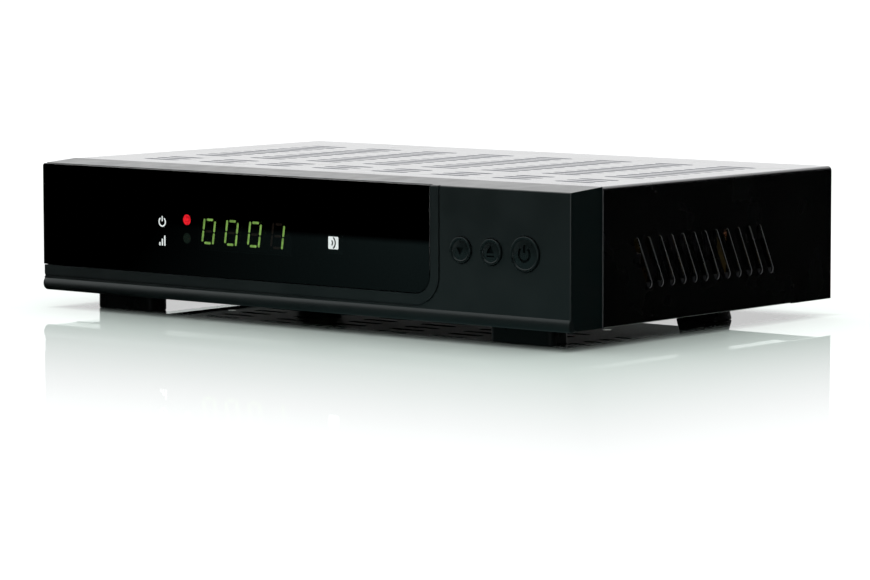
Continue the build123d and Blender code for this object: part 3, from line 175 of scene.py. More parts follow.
def ramp_over(tree, source, start, end, first, last):
    """The source's stretch from start to end, spread from the first number to the last."""
    span = tree.nodes.new("ShaderNodeMapRange")
    span.inputs["From Min"].default_value = start
    span.inputs["From Max"].default_value = end
    span.inputs["To Min"].default_value = first
    span.inputs["To Max"].default_value = last
    tree.links.new(source, span.inputs["Value"])
    return span.outputs["Result"]


def between(tree, pattern, low, high):
    """The pattern's middle values, spread between two numbers."""
    return ramp_over(tree, pattern, pattern_low, pattern_high, low, high)


def shades(tree, source, first, second, start=pattern_low, end=pattern_high):
    """A colour that goes from the first to the second as the source goes from start to end."""
    ramp = tree.nodes.new("ShaderNodeValToRGB")
    for element, place, colour in zip(ramp.color_ramp.elements, (start, end), (first, second)):
        element.position = place
        element.color = (*colour, 1.0)
    tree.links.new(source, ramp.inputs["Fac"])
    return ramp.outputs["Color"]


def chosen(tree, mask, first, second):
    """The first colour where the mask is nought and the second where it is one."""
    mix = tree.nodes.new("ShaderNodeMix")
    mix.data_type = "RGBA"
    tree.links.new(mask, mix.inputs["Factor"])
    for socket, colour in (("A", first), ("B", second)):
        if isinstance(colour, tuple):
            mix.inputs[socket].default_value = (*colour, 1.0)
        else:
            tree.links.new(colour, mix.inputs[socket])
    return mix.outputs["Result"]


def calculate(tree, operation, first, second):
    """One sum of two values, where the second may be a number."""
    node = tree.nodes.new("ShaderNodeMath")
    node.operation = operation
    tree.links.new(first, node.inputs[0])
    if isinstance(second, float):
        node.inputs[1].default_value = second
    else:
        tree.links.new(second, node.inputs[1])
    return node.outputs["Value"]


def within(tree, value, low, high):
    """One where the value lies between the two limits, and nought elsewhere."""
    above = calculate(tree, "GREATER_THAN", value, low)
    below = calculate(tree, "LESS_THAN", value, high)
    return calculate(tree, "MULTIPLY", above, below)


def repaint(tree, shader, mask, colour, **values):
    """Another colour and other values on the shader where the mask is one."""
    painted = shader.inputs["Base Color"].links[0].from_socket
    tree.links.new(chosen(tree, mask, painted, colour), shader.inputs["Base Color"])
    for socket_name, value in values.items():
        socket = shader.inputs[socket_name.replace("_", " ")]
        tree.links.new(ramp_over(tree, mask, 0.0, 1.0, socket.default_value, value), socket)


def vary(tree, shader, pattern, dark, light, roughness):
    """Colour and roughness that change with the pattern."""
    tree.links.new(shades(tree, pattern, dark, light), shader.inputs["Base Color"])
    tree.links.new(between(tree, pattern, *roughness), shader.inputs["Roughness"])


def raise_bumps(tree, shader, pattern, height):
    """Bumps of that height where the pattern is high."""
    bump = tree.nodes.new("ShaderNodeBump")
    bump.inputs["Distance"].default_value = height
    tree.links.new(pattern, bump.inputs["Height"])
    tree.links.new(bump.outputs["Normal"], shader.inputs["Normal"])


def grain(tree, shader, size, height, stretch=(1.0, 1.0, 1.0)):
    """Fine bumps, of that size and height in millimetres."""
    raise_bumps(tree, shader, speckle(tree, size, 2.0, stretch), height * mm)


def plain_finish(name, dark, light, roughness, spot, grain_size, grain_height, **sockets):
    """A finish that varies between two shades in soft spots, with a fine grain."""
    made, tree, shader = new_finish(name, light, roughness[0], **sockets)
    vary(tree, shader, speckle(tree, spot), dark, light, roughness)
    grain(tree, shader, grain_size, grain_height)
    return made


def brushed(name, dark, light, roughness, stretch):
    """Rolled or brushed metal, with fine lines along one axis."""
    made, tree, shader = new_finish(name, light, roughness[0], Metallic=1.0)
    vary(tree, shader, speckle(tree, brushed_spot, 4.0, stretch), dark, light, roughness)
    grain(tree, shader, brushed_line, brushed_line_high, stretch)
    return made


def glowing(name, colour, strength, spot, dimmer):
    """A light behind the lens, a little uneven over its face."""
    unlit = tuple(channel * unlit_share for channel in colour)
    dim = tuple(channel * dimmer for channel in colour)
    made, tree, shader = new_finish(name, unlit, light_roughness)
    tree.links.new(shades(tree, speckle(tree, spot), dim, colour), shader.inputs["Emission Color"])
    shader.inputs["Emission Strength"].default_value = strength
    return made


def board_finish(name, mask, track, pad):
    """A circuit board: solder resist, raised tracks under it, and small pads."""
    made, tree, shader = new_finish(name, mask, 0.3)
    cells = tree.nodes.new("ShaderNodeTexVoronoi")
    cells.distance = "CHEBYCHEV"
    cells.inputs["Scale"].default_value = 1.0 / pad_pitch
    cells.inputs["Randomness"].default_value = pad_scatter
    tree.links.new(object_place(tree, (1.0, 1.0, 0.0)), cells.inputs["Vector"])
    lines = tree.nodes.new("ShaderNodeTexWave")
    lines.inputs["Scale"].default_value = 1.0 / track_pitch
    lines.inputs["Distortion"].default_value = track_bend
    tree.links.new(object_place(tree, (1.0, 0.4, 0.0)), lines.inputs["Vector"])
    traced = shades(tree, lines.outputs["Fac"], mask, track, *track_edge)
    in_pad = calculate(tree, "LESS_THAN", cells.outputs["Distance"], pad_share)
    tree.links.new(chosen(tree, in_pad, traced, pad), shader.inputs["Base Color"])
    raise_bumps(tree, shader, lines.outputs["Fac"], track_high)
    return made


# Finishes of more than one colour

def cover_paint():
    """Satin black enamel baked on steel, bare on the slots' punched edges, with painted light on the top's
    slots.
    """
    made = plain_finish("cover_paint", (0.0006, 0.0006, 0.0007), (0.0009, 0.0009, 0.001), (0.24, 0.28),
                        18.0, 0.55, 0.0012, Coat_Weight=1.0, Coat_Roughness=0.16,
                        Coat_Tint=(0.97, 0.98, 1.0, 1.0))
    tree = made.node_tree
    shader = tree.nodes["Principled BSDF"]
    low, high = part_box("top_cover")
    axes = along_axes(tree, object_place(tree))
    across = calculate(tree, "ABSOLUTE", axes["X"], 0.0)
    clear_of_ends = within(tree, axes["Y"], low[1] + cut_margin, high[1] - cut_margin)
    in_top = calculate(tree, "MULTIPLY",
                       within(tree, axes["Z"], high[2] - cut_deep, high[2] - top_cut_paint),
                       calculate(tree, "LESS_THAN", across, high[0] - cut_margin))
    in_side = calculate(tree, "MULTIPLY",
                        within(tree, across, high[0] - side_cut_deep, high[0] - cut_paint),
                        within(tree, axes["Z"], low[2] + cut_margin, high[2] - cut_margin))
    in_slots = calculate(tree, "MULTIPLY", calculate(tree, "MAXIMUM", in_top, in_side), clear_of_ends)
    in_front_edge = calculate(tree, "MULTIPLY",
                              calculate(tree, "LESS_THAN", axes["Y"], low[1] + side_cut_deep),
                              calculate(tree, "GREATER_THAN", across, high[0] - cut_deep))
    partly_bare = calculate(tree, "MULTIPLY", in_front_edge, front_cut_share)
    repaint(tree, shader, calculate(tree, "MAXIMUM", in_slots, partly_bare), bare_steel, Coat_Weight=0.0)
    # Painted light: the top's slot edges are a lighter, bluer grey than the bare steel of the side's.
    repaint(tree, shader, calculate(tree, "MULTIPLY", in_top, clear_of_ends), top_slot_painted_light)
    return made


def bezel_plastic():
    """Charcoal plastic with a fine spark-eroded texture, with painted shade on its two ends."""
    made = plain_finish("bezel_plastic", (0.0042, 0.0062, 0.0062), (0.005, 0.0076, 0.0076), (0.3, 0.38),
                        9.0, 0.22, 0.003, Coat_Weight=0.4, Coat_Roughness=0.2,
                        Specular_Tint=(0.88, 1.0, 1.0, 1.0))
    tree = made.node_tree
    across = calculate(tree, "ABSOLUTE", along_axes(tree, object_place(tree))["X"], 0.0)
    # Painted shade: the bezel's two ends are darker and have no coat.
    on_shaded_end = calculate(tree, "GREATER_THAN", across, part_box("front_bezel")[1][0] - bezel_end)
    repaint(tree, tree.nodes["Principled BSDF"], on_shaded_end, bezel_end_painted_shade, Coat_Weight=0.0)
    return made


def button_plastic():
    """Satin plastic of the button caps, with painted shade in the engraving and down the sides."""
    made = plain_finish("button_plastic", (0.0026, 0.0046, 0.0046), (0.0034, 0.006, 0.006), (0.26, 0.32),
                        3.0, 0.25, 0.0015, Coat_Weight=0.25, Coat_Roughness=0.15,
                        Specular_Tint=(0.8, 1.0, 1.0, 1.0))
    tree = made.node_tree
    inwards = along_axes(tree, object_place(tree))["Y"]
    # Painted shade: from a little behind the cap's front, in the engraving and down the sides, it turns
    # darker and duller.
    in_cap_shade = calculate(tree, "GREATER_THAN", inwards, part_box("button_down")[0][1] + cap_shade_from)
    repaint(tree, tree.nodes["Principled BSDF"], in_cap_shade, cap_painted_shade, Specular_IOR_Level=0.25, Coat_Weight=0.0)
    return made


def smoked_lens():
    """Smoked acrylic, polished in front, through which only light comes, with a blackened left end."""
    made, tree, shader = new_finish("smoked_lens", smoke, 0.0, Transmission_Weight=1.0, IOR=1.49)
    tree.links.new(between(tree, speckle(tree, 30.0), 0.0, 0.015), shader.inputs["Roughness"])
    across = calculate(tree, "ABSOLUTE", along_axes(tree, object_place(tree))["X"], 0.0)
    clear = calculate(tree, "LESS_THAN", across, -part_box("display_lens")[0][0] - lens_end)
    tree.links.new(clear, shader.inputs["Transmission Weight"])
    tree.links.new(chosen(tree, clear, lens_black, smoke), shader.inputs["Base Color"])
    return made


def plated_sheet():
    """Plated steel, bright at the sides, with painted shade across the bottom and inside."""
    made = brushed("plated_sheet", (0.17, 0.18, 0.19), (0.25, 0.26, 0.27), (0.28, 0.42), (1.0, 0.08, 1.0))
    tree = made.node_tree
    across = calculate(tree, "ABSOLUTE", along_axes(tree, object_place(tree))["X"], 0.0)
    # Painted shade: within the bright rim the sheet is darker and has no shine.
    in_base_shade = calculate(tree, "LESS_THAN", across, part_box("base")[1][0] - plated_rim)
    repaint(tree, tree.nodes["Principled BSDF"], in_base_shade, base_painted_shade, Metallic=0.0, Roughness=0.4,
            Specular_IOR_Level=0.005)
    return made


def capacitor_sleeve():
    """Dark shrunk sleeve round the sides, bare aluminium on top."""
    made, tree, shader = new_finish("capacitor_sleeve", sleeve_black, 0.3)
    geometry = tree.nodes.new("ShaderNodeNewGeometry")
    upwards = along_axes(tree, geometry.outputs["True Normal"])["Z"]
    lid = calculate(tree, "GREATER_THAN", upwards, lid_level)
    tree.links.new(chosen(tree, lid, sleeve_black, lid_grey), shader.inputs["Base Color"])
    tree.links.new(lid, shader.inputs["Metallic"])
    grain(tree, shader, 1.5, 0.01)
    return made


def jack_colour():
    """The coloured rings of the jacks, each with its colour by its place in the block."""
    made, tree, shader = new_finish("jack_colour", jack_white, 0.35)
    low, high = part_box("jack_sleeves")
    axes = along_axes(tree, object_place(tree))
    right = calculate(tree, "GREATER_THAN", axes["X"], (low[0] + high[0]) / 2)
    upper = calculate(tree, "GREATER_THAN", axes["Z"], (low[2] + high[2]) / 2)
    lower_row = chosen(tree, right, jack_red, jack_orange)
    upper_row = chosen(tree, right, jack_white, jack_yellow)
    tree.links.new(chosen(tree, upper, lower_row, upper_row), shader.inputs["Base Color"])
    grain(tree, shader, 0.4, 0.003)
    return made


# Dark shade, light shade, range of roughness, then in millimetres the size of the spots and the size and
# height of the grain, and last what else the shader has
plain_finishes = {
    "rear_paint": ((0.014, 0.014, 0.015), (0.02, 0.02, 0.021), (0.38, 0.46), 14.0, 0.5, 0.003, {}),
    # The lip is the bezel's plastic, rougher and painted darker: the darker colour is painted shade.
    "lip_plastic": ((0.0014, 0.0036, 0.0036), (0.0022, 0.005, 0.005), (0.46, 0.5), 9.0, 0.15, 0.003,
                    {"Coat_Weight": 0.25, "Coat_Roughness": 0.42, "Specular_Tint": (0.85, 1.0, 1.0, 1.0)}),
    "switch_plastic": ((0.02, 0.02, 0.02), (0.03, 0.03, 0.03), (0.35, 0.45), 3.0, 0.3, 0.004, {}),
    "module_plastic": ((0.0015, 0.0015, 0.0015), (0.0025, 0.0025, 0.0025), (0.9, 1.0), 4.0, 0.3, 0.004,
                       {"Specular_IOR_Level": 0.0}),
    "dark_resin": ((0.003, 0.0015, 0.0025), (0.005, 0.0025, 0.0035), (0.2, 0.3), 2.0, 0.4, 0.001,
                   {"Specular_IOR_Level": 0.2}),
    "foot_rubber": ((0.0008, 0.0016, 0.0016), (0.0014, 0.0024, 0.0024), (0.26, 0.32), 4.0, 0.35, 0.003,
                    {"Specular_IOR_Level": 0.22}),
    "black_screw": ((0.02, 0.02, 0.021), (0.04, 0.04, 0.041), (0.3, 0.42), 1.5, 0.2, 0.003,
                    {"Metallic": 0.7}),
    "insulation_film": ((0.55, 0.55, 0.5), (0.68, 0.68, 0.62), (0.2, 0.3), 12.0, 1.0, 0.01, {}),
    "socket_plastic": ((0.012, 0.012, 0.013), (0.02, 0.02, 0.021), (0.38, 0.48), 5.0, 0.25, 0.006, {}),
    "chip_resin": ((0.014, 0.014, 0.015), (0.026, 0.026, 0.028), (0.45, 0.6), 2.0, 0.2, 0.006, {}),
    "black_heatsink": ((0.014, 0.014, 0.015), (0.025, 0.025, 0.026), (0.3, 0.4), 4.0, 0.4, 0.004,
                       {"Metallic": 0.6}),
    "header_plastic": ((0.66, 0.63, 0.54), (0.78, 0.75, 0.66), (0.35, 0.45), 4.0, 0.3, 0.004, {}),
    "ribbon_grey": ((0.36, 0.36, 0.37), (0.48, 0.48, 0.49), (0.35, 0.45), 1.3, 0.6, 0.01, {}),
    "rocker_plastic": ((0.016, 0.016, 0.017), (0.026, 0.026, 0.027), (0.22, 0.3), 3.0, 0.3, 0.002, {}),
    "fuse_glass": ((0.6, 0.62, 0.62), (0.72, 0.74, 0.74), (0.05, 0.1), 4.0, 0.5, 0.001, {}),
    # Copper wire, yellow capacitors and yellow tape are far darker than their own colours: painted shade
    # inside the case.
    "copper_wire": ((0.1, 0.03, 0.01), (0.16, 0.06, 0.02), (0.2, 0.3), 0.8, 0.6, 0.05, {"Metallic": 0.8}),
    "capacitor_yellow": ((0.03, 0.019, 0.002), (0.045, 0.03, 0.003), (0.35, 0.45), 5.0, 0.3, 0.004, {}),
    "ferrite": ((0.012, 0.012, 0.014), (0.02, 0.02, 0.023), (0.4, 0.55), 1.5, 0.2, 0.008, {}),
    "yellow_tape": ((0.03, 0.019, 0.002), (0.045, 0.03, 0.003), (0.2, 0.3), 6.0, 2.0, 0.02, {}),
    "wire_sleeve": ((0.5, 0.02, 0.015), (0.65, 0.04, 0.03), (0.3, 0.4), 5.0, 0.5, 0.003, {}),
    "printed_white": ((0.66, 0.69, 0.69), (0.76, 0.79, 0.79), (0.4, 0.5), 1.0, 0.1, 0.001, {}),
    "printed_black": ((0.01, 0.01, 0.01), (0.016, 0.016, 0.016), (0.4, 0.5), 1.0, 0.1, 0.001, {}),
}
# Dark shade, light shade, range of roughness, and how the lines are stretched along each axis
brushed_finishes = {
    "tin_can": ((0.55, 0.55, 0.53), (0.72, 0.72, 0.7), (0.2, 0.32), (0.1, 1.0, 1.0)),
    "switch_metal": ((0.5, 0.5, 0.5), (0.66, 0.66, 0.65), (0.25, 0.4), (1.0, 1.0, 0.2)),
    "nickel": ((0.6, 0.58, 0.54), (0.78, 0.76, 0.7), (0.12, 0.22), (1.0, 0.3, 1.0)),
    "zinc_screw": ((0.5, 0.5, 0.47), (0.72, 0.72, 0.69), (0.22, 0.36), (1.0, 1.0, 1.0)),
    # Bare aluminium is far darker than its own colour: painted shade inside the case.
    "bare_aluminium": ((0.1, 0.1, 0.105), (0.16, 0.16, 0.165), (0.22, 0.36), (1.0, 1.0, 0.08)),
}
# Colour, strength, size of the uneven spots in millimetres, and how much of the light these keep
glowing_finishes = {
    "lit_bar": ((0.25, 0.44, 0.1), 4.7, 1.2, 0.6),
    # The unlit bar glows faintly though it is not lit: painted light.
    "unlit_bar": ((0.3, 0.2, 0.15), 0.12, 2.0, 0.8),
    "red_light": ((1.0, 0.018, 0.03), 5.2, 0.9, 0.5),
    # The unlit light glows faintly though it is not lit: painted light.
    "unlit_light": ((0.3, 0.5, 0.35), 0.1, 1.0, 0.7),
}
# Solder resist, the resist over the tracks, and the pads
board_finishes = {
    "circuit_board": ((0.01, 0.09, 0.035), (0.02, 0.16, 0.06), (0.7, 0.55, 0.25)),
    "power_circuit_board": ((0.42, 0.29, 0.12), (0.5, 0.36, 0.16), (0.7, 0.68, 0.62)),
}
finishes = {
    "cover_paint": cover_paint(),
    "bezel_plastic": bezel_plastic(),
    "button_plastic": button_plastic(),
    "smoked_lens": smoked_lens(),
    "plated_sheet": plated_sheet(),
    "capacitor_sleeve": capacitor_sleeve(),
    "jack_colour": jack_colour(),
}
for finish_name, (*values, extras) in plain_finishes.items():
    finishes[finish_name] = plain_finish(finish_name, *values, **extras)
for kind, table in ((brushed, brushed_finishes), (glowing, glowing_finishes),
                    (board_finish, board_finishes)):
    for finish_name, values in table.items():
        finishes[finish_name] = kind(finish_name, *values)

slot_of = {row["node"]: row["material_slot"] for row in frame["record"]["subparts"]}
for node_name, node in nodes.items():
    for holder in node.material_slots:
        holder.material = finishes[slot_of[node_name]]


# Modelling helpers

# Faces that turn by fewer degrees than this are shaded as one. The feet and the lip are rounded over in so
# many steps.
smooth_angle = 30.0
round_steps = 3


def deselect():
    """Nothing selected, in object mode."""
    if bpy.context.object is not None and bpy.context.object.mode != "OBJECT":
        bpy.ops.object.mode_set(mode="OBJECT")
    bpy.ops.object.select_all(action="DESELECT")


def select_only(piece):
    """One piece selected and active, in object mode."""
    deselect()
    piece.select_set(True)
    bpy.context.view_layer.objects.active = piece


def edit(piece):
    """Edit mode on one piece, with nothing in it selected."""
    select_only(piece)
    bpy.ops.object.mode_set(mode="EDIT")
    bpy.ops.mesh.select_all(action="DESELECT")


def select_faces(piece, wanted):
    """Selects the faces whose middle passes the test, and leaves the piece in edit mode."""
    bpy.ops.object.mode_set(mode="OBJECT")
    for face in piece.data.polygons:
        face.select = wanted(piece.matrix_world @ face.center)
    bpy.ops.object.mode_set(mode="EDIT")
    bpy.ops.mesh.select_mode(type="FACE")


def fix_place():
    """The active piece's place, turn and size, moved into its mesh."""
    bpy.ops.object.transform_apply(location=True, rotation=True, scale=True)


def round_edges(piece, width, segments, angle=None):
    """Rounds over the edges of the active piece, or only those that turn by more than the angle."""
    rounding = piece.modifiers.new("rounding", "BEVEL")
    rounding.width = width
    rounding.segments = segments
    if angle is not None:
        rounding.limit_method = "ANGLE"
        rounding.angle_limit = radians(angle)
    bpy.ops.object.modifier_apply(modifier="rounding")


def cut_away(piece, tool):
    """Cuts the tool's shape out of the piece, and removes the tool."""
    select_only(piece)
    cut = piece.modifiers.new("cut", "BOOLEAN")
    cut.operation = "DIFFERENCE"
    cut.solver = "EXACT"
    cut.object = tool
    bpy.ops.object.modifier_apply(modifier="cut")
    bpy.data.objects.remove(tool)


def block(middle, size):
    """A cube stretched to its size at its place."""
    deselect()
    bpy.ops.mesh.primitive_cube_add(size=1.0, location=middle)
    piece = bpy.context.object
    piece.scale = size
    fix_place()
    return piece


def joined(pieces):
    """The pieces as one object."""
    deselect()
    for piece in pieces:
        piece.select_set(True)
    bpy.context.view_layer.objects.active = pieces[0]
    bpy.ops.object.join()
    return pieces[0]


def copied(piece, move, turn):
    """A copy with its own mesh, moved and turned about the axis that runs from front to back."""
    twin = piece.copy()
    twin.data = piece.data.copy()
    bpy.context.scene.collection.objects.link(twin)
    twin.matrix_world = Matrix.Translation(move) @ Matrix.Rotation(turn, 4, "Y")
    return twin


def settle(piece, name, slot, body):
    """Names a finished piece, brings its object to the origin, gives it its finish and its body."""
    select_only(piece)
    fix_place()
    piece.name = name
    piece.data.name = name
    piece.data.materials.clear()
    piece.data.materials.append(finishes[slot])
    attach(piece, body)
    return piece


def turned(name, centre, steps, slot, body, sides):
    """A round piece that faces the front, shaped from a disc by extruding and scaling its face in steps.

    The centre is on the plane that the steps count from. Each step is a radius and a distance forwards, in
    millimetres.
    """
    deselect()
    radius, out = steps[0]
    start = Vector(centre) + Vector((0.0, -out * mm, 0.0))
    bpy.ops.mesh.primitive_circle_add(vertices=sides, radius=radius * mm, fill_type="NGON", location=start,
                                      rotation=(pi / 2, 0.0, 0.0))
    piece = bpy.context.object
    bpy.ops.object.mode_set(mode="EDIT")
    bpy.ops.mesh.select_all(action="SELECT")
    for next_radius, next_out in steps[1:]:
        move = (0.0, -(next_out - out) * mm, 0.0)
        bpy.ops.mesh.extrude_region_move(TRANSFORM_OT_translate={"value": move, "orient_type": "GLOBAL"})
        share = next_radius / radius
        here = Vector(centre) + Vector((0.0, -next_out * mm, 0.0))
        bpy.ops.transform.resize(value=(share, 1.0, share), center_override=here)
        radius, out = next_radius, next_out
    bpy.ops.mesh.select_all(action="SELECT")
    bpy.ops.mesh.normals_make_consistent(inside=False)
    bpy.ops.object.mode_set(mode="OBJECT")
    bpy.ops.object.shade_smooth_by_angle(angle=radians(smooth_angle))
    return settle(piece, name, slot, body)


def middle_of(node_name):
    """The middle of a CAD node's box."""
    low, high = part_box(node_name)
    return (Vector(low) + Vector(high)) / 2


# Edged copies of the pieces whose rims catch the light, with the width of each rounding in millimetres

edge_widths = {
    "top_cover": 0.05, "front_bezel": 0.26, "rear_panel": 0.1, "base": 0.1, "connector_nuts": 0.25,
    "jack_shells": 0.18, "jack_sleeves": 0.15, "mains_inlet": 0.3, "switch_frame": 0.3,
    "mains_rocker": 0.35, "multipole_socket": 0.3, "digital_video_socket": 0.12, "tuner_can": 0.25,
    "front_feet": 0.35, "cover_screws": 0.12,
}
# The roundings' steps, and by how many degrees an edge has to turn to be rounded over
edge_segments = 2
edge_angle = 35.0
# Points as close as this are made one, and so are faces that turn by fewer degrees than this
merge_distance = 0.002 * mm
flat_angle = 0.5
# The bed of the lip: its top, height and depth, and its length in halves of the bezel's length
lip_bed_top = 10.1 * mm
lip_bed_high = 5.0 * mm
lip_bed_deep = 1.7 * mm
lip_bed_over = 2.2


def cut_lip_bed(bezel):
    """Cuts away the bottom front corner of the bezel, where the finer lip goes."""
    low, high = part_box("front_bezel")
    cut_away(bezel, block((0.0, low[1], lip_bed_top - lip_bed_high / 2),
                          (high[0] * lip_bed_over, lip_bed_deep * 2, lip_bed_high)))


def body_of(node_name):
    """The body that a CAD node rides on."""
    for body, members in frame["record"]["behaviour"]["bodies"].items():
        if node_name in members:
            return body


def edged(node_name, width):
    """A copy of a CAD node whose sharp edges are rounded over, in place of the node.

    The front bezel first loses the bed that its lip lies in.
    """
    piece = nodes[node_name].copy()
    piece.data = nodes[node_name].data.copy()
    piece.parent = None
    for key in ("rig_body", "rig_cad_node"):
        if key in piece:
            del piece[key]
    bpy.context.scene.collection.objects.link(piece)
    select_only(piece)
    bpy.ops.object.mode_set(mode="EDIT")
    bpy.ops.mesh.select_all(action="SELECT")
    bpy.ops.mesh.remove_doubles(threshold=merge_distance)
    bpy.ops.mesh.customdata_custom_splitnormals_clear()
    bpy.ops.mesh.dissolve_limited(angle_limit=radians(flat_angle))
    bpy.ops.object.mode_set(mode="OBJECT")
    if node_name == "front_bezel":
        cut_lip_bed(piece)
    round_edges(piece, width * mm, edge_segments, edge_angle)
    bpy.ops.object.shade_smooth_by_angle(angle=radians(edge_angle))
    flat_sides = piece.modifiers.new("flat_sides", "WEIGHTED_NORMAL")
    flat_sides.keep_sharp = True
    bpy.ops.object.modifier_apply(modifier="flat_sides")
    settle(piece, node_name + "_edged", slot_of[node_name], body_of(node_name))
    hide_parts(node_name)


for node_name, width in edge_widths.items():
    edged(node_name, width)


# Display and lights behind the lens

lens_low, lens_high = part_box("display_lens")
lens_front = lens_low[1]
lens_back = lens_high[1]
display_x, display_z = -23.45 * mm, 29.95 * mm
digit_pitch = 10.25 * mm
digit_height = 7.9 * mm
digit_width = 4.8 * mm
digit_lean = radians(8.3)
upright_length = 3.66 * mm
upright_width = 0.7 * mm
upright_spread = 2.03 * mm
level_length = 2.75 * mm
level_width = 0.78 * mm
bar_depth = 0.2 * mm
bar_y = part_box("display_lit_bars")[0][1] + bar_depth / 2
# A bar's point: its length and the height of its tip as shares of the width, and where the bar's end starts
point_share = 0.3
tip_share = 0.4
end_share = 0.35
# A light's dome: the share of the full radius and how far forward of the dome's face it lies, then the gap
# between that face and the lens, both in millimetres
dome_steps = ((1.0, -0.25), (0.93, -0.08), (0.8, 0.0), (0.3, 0.02))
dome_gap = 0.05
dome_sides = 40


def pointed_bar(length, width):
    """One bar of a digit at the origin, lying along X, with blunt points."""
    bar = block((0.0, 0.0, 0.0), (length - width * point_share * 2, bar_depth, width))
    edit(bar)
    for side in (-1.0, 1.0):
        select_faces(bar, lambda place: place.x * side > length * end_share)
        move = (side * width * point_share, 0.0, 0.0)
        bpy.ops.mesh.extrude_region_move(TRANSFORM_OT_translate={"value": move})
        bpy.ops.transform.resize(value=(1.0, 1.0, tip_share))
    bpy.ops.object.mode_set(mode="OBJECT")
    return bar


def digit_display():
    """Four leaning digits of seven bars each, lit to show nought, nought, nought, one."""
    level_bar = pointed_bar(level_length, level_width)
    upright_bar = pointed_bar(upright_length, upright_width)
    half_high = digit_height / 2
    half_wide = digit_width / 2
    lean = Matrix.Rotation(digit_lean, 4, "Y")
    level_bars = {"top": (0.0, half_high), "middle": (0.0, 0.0), "bottom": (0.0, -half_high)}
    upright_bars = {
        "upper_left": (-half_wide, upright_spread), "upper_right": (half_wide, upright_spread),
        "lower_left": (-half_wide, -upright_spread), "lower_right": (half_wide, -upright_spread),
    }
    nought = ("top", "bottom", *upright_bars)
    one = ("upper_right", "lower_right")
    lit, unlit = [], []
    for place, lit_bars in enumerate((nought, nought, nought, one)):
        middle = Vector((display_x + (place - 1.5) * digit_pitch, bar_y, display_z))
        for bars, pattern, turn in ((level_bars, level_bar, 0.0),
                                    (upright_bars, upright_bar, pi / 2 + digit_lean)):
            for name, (across, up) in bars.items():
                twin = copied(pattern, middle + lean @ Vector((across, 0.0, up)), turn)
                (lit if name in lit_bars else unlit).append(twin)
    bpy.data.objects.remove(level_bar)
    bpy.data.objects.remove(upright_bar)
    shown = settle(joined(lit), "lit_bars", "lit_bar", "housing")
    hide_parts("display_lit_bars")
    dim = settle(joined(unlit), "unlit_bars", "unlit_bar", "housing")
    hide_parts("display_unlit_bars")


def status_light(node_name, name, slot):
    """The domed front of a light pipe, close behind the lens, on its stem."""
    low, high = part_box(node_name)
    centre = middle_of(node_name)
    centre.y = low[1]
    radius = (high[0] - low[0]) / 2 / mm
    front = (low[1] - lens_back) / mm - dome_gap
    steps = [(radius, -(high[1] - low[1]) / mm)]
    steps += [(radius * share, front + out) for share, out in dome_steps]
    piece = turned(name, centre, steps, slot, "housing", dome_sides)
    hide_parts(node_name)


digit_display()
status_light("power_light", "power_light_pipe", "red_light")
status_light("signal_light", "signal_light_pipe", "unlit_light")


# Signs printed on the lens

sign_depth = 0.03 * mm
sign_y = lens_front - sign_depth / 2
sign_stroke = 0.5 * mm
ring_sides = 72
sign_radius = 1.7 * mm
sign_x = -58.6 * mm
power_sign_z = 32.3 * mm
signal_sign_z = 26.0 * mm
# The power sign's gap in degrees, and its stem's length and height in shares of the radius
power_gap = 70.0
stem_length = 1.05
stem_up = 0.62
# The strength sign: how many bars, and how much of its step each fills
signal_steps = 3
signal_fill = 0.55
eye_sign_x, eye_sign_z = 17.5 * mm, 29.2 * mm
eye_sign_wide, eye_sign_high = 4.3 * mm, 4.1 * mm
eye_sign_corner, eye_corner_steps = 0.35 * mm, 4
# The waves: where they start, as a share of the tile's width, how far they stand out of it, as a share of
# the paint's depth, their radii, and the part in degrees that is left out
wave_start = -0.3
wave_lift = 0.6
wave_radii = (1.2 * mm, 2.4 * mm)
wave_gap = 250.0


def thicken(piece):
    """Gives a flat sign its thickness of paint."""
    select_only(piece)
    fix_place()
    paint = piece.modifiers.new("paint", "SOLIDIFY")
    paint.thickness = sign_depth
    paint.offset = 0.0
    bpy.ops.object.modifier_apply(modifier="paint")


def ring_sign(centre, radius, width, gap, towards):
    """A flat ring round a circle, thickened, with a gap of so many degrees towards an angle in degrees."""
    deselect()
    bpy.ops.mesh.primitive_circle_add(vertices=ring_sides, radius=radius, location=centre,
                                      rotation=(pi / 2, 0.0, 0.0))
    ring = bpy.context.object
    edit(ring)
    bpy.ops.mesh.select_all(action="SELECT")
    share = (radius - width) / radius
    bpy.ops.mesh.extrude_edges_move(TRANSFORM_OT_translate={"value": (0.0, 0.0, 0.0)})
    bpy.ops.transform.resize(value=(share, 1.0, share), center_override=centre)
    aim = Vector((cos(radians(towards)), 0.0, sin(radians(towards))))
    limit = cos(radians(gap / 2))
    select_faces(ring, lambda place: (place - Vector(centre)).normalized().dot(aim) > limit)
    bpy.ops.mesh.delete(type="FACE")
    thicken(ring)
    return ring


def status_signs():
    """The signs beside the two lights: power, and signal strength in growing bars."""
    power = Vector((sign_x, sign_y, power_sign_z))
    stem = power + Vector((0.0, 0.0, sign_radius * stem_up))
    pieces = [ring_sign(power, sign_radius, sign_stroke, power_gap, 90.0),
              block(stem, (sign_stroke, sign_depth, sign_radius * stem_length))]
    step = sign_radius * 2 / signal_steps
    for number in range(signal_steps):
        high = step * (number + 1)
        middle = Vector((sign_x - sign_radius + step * (number + 0.5), sign_y,
                         signal_sign_z - sign_radius + high / 2))
        pieces.append(block(middle, (step * signal_fill, sign_depth, high)))
    settle(joined(pieces), "status_signs", "printed_white", "housing")


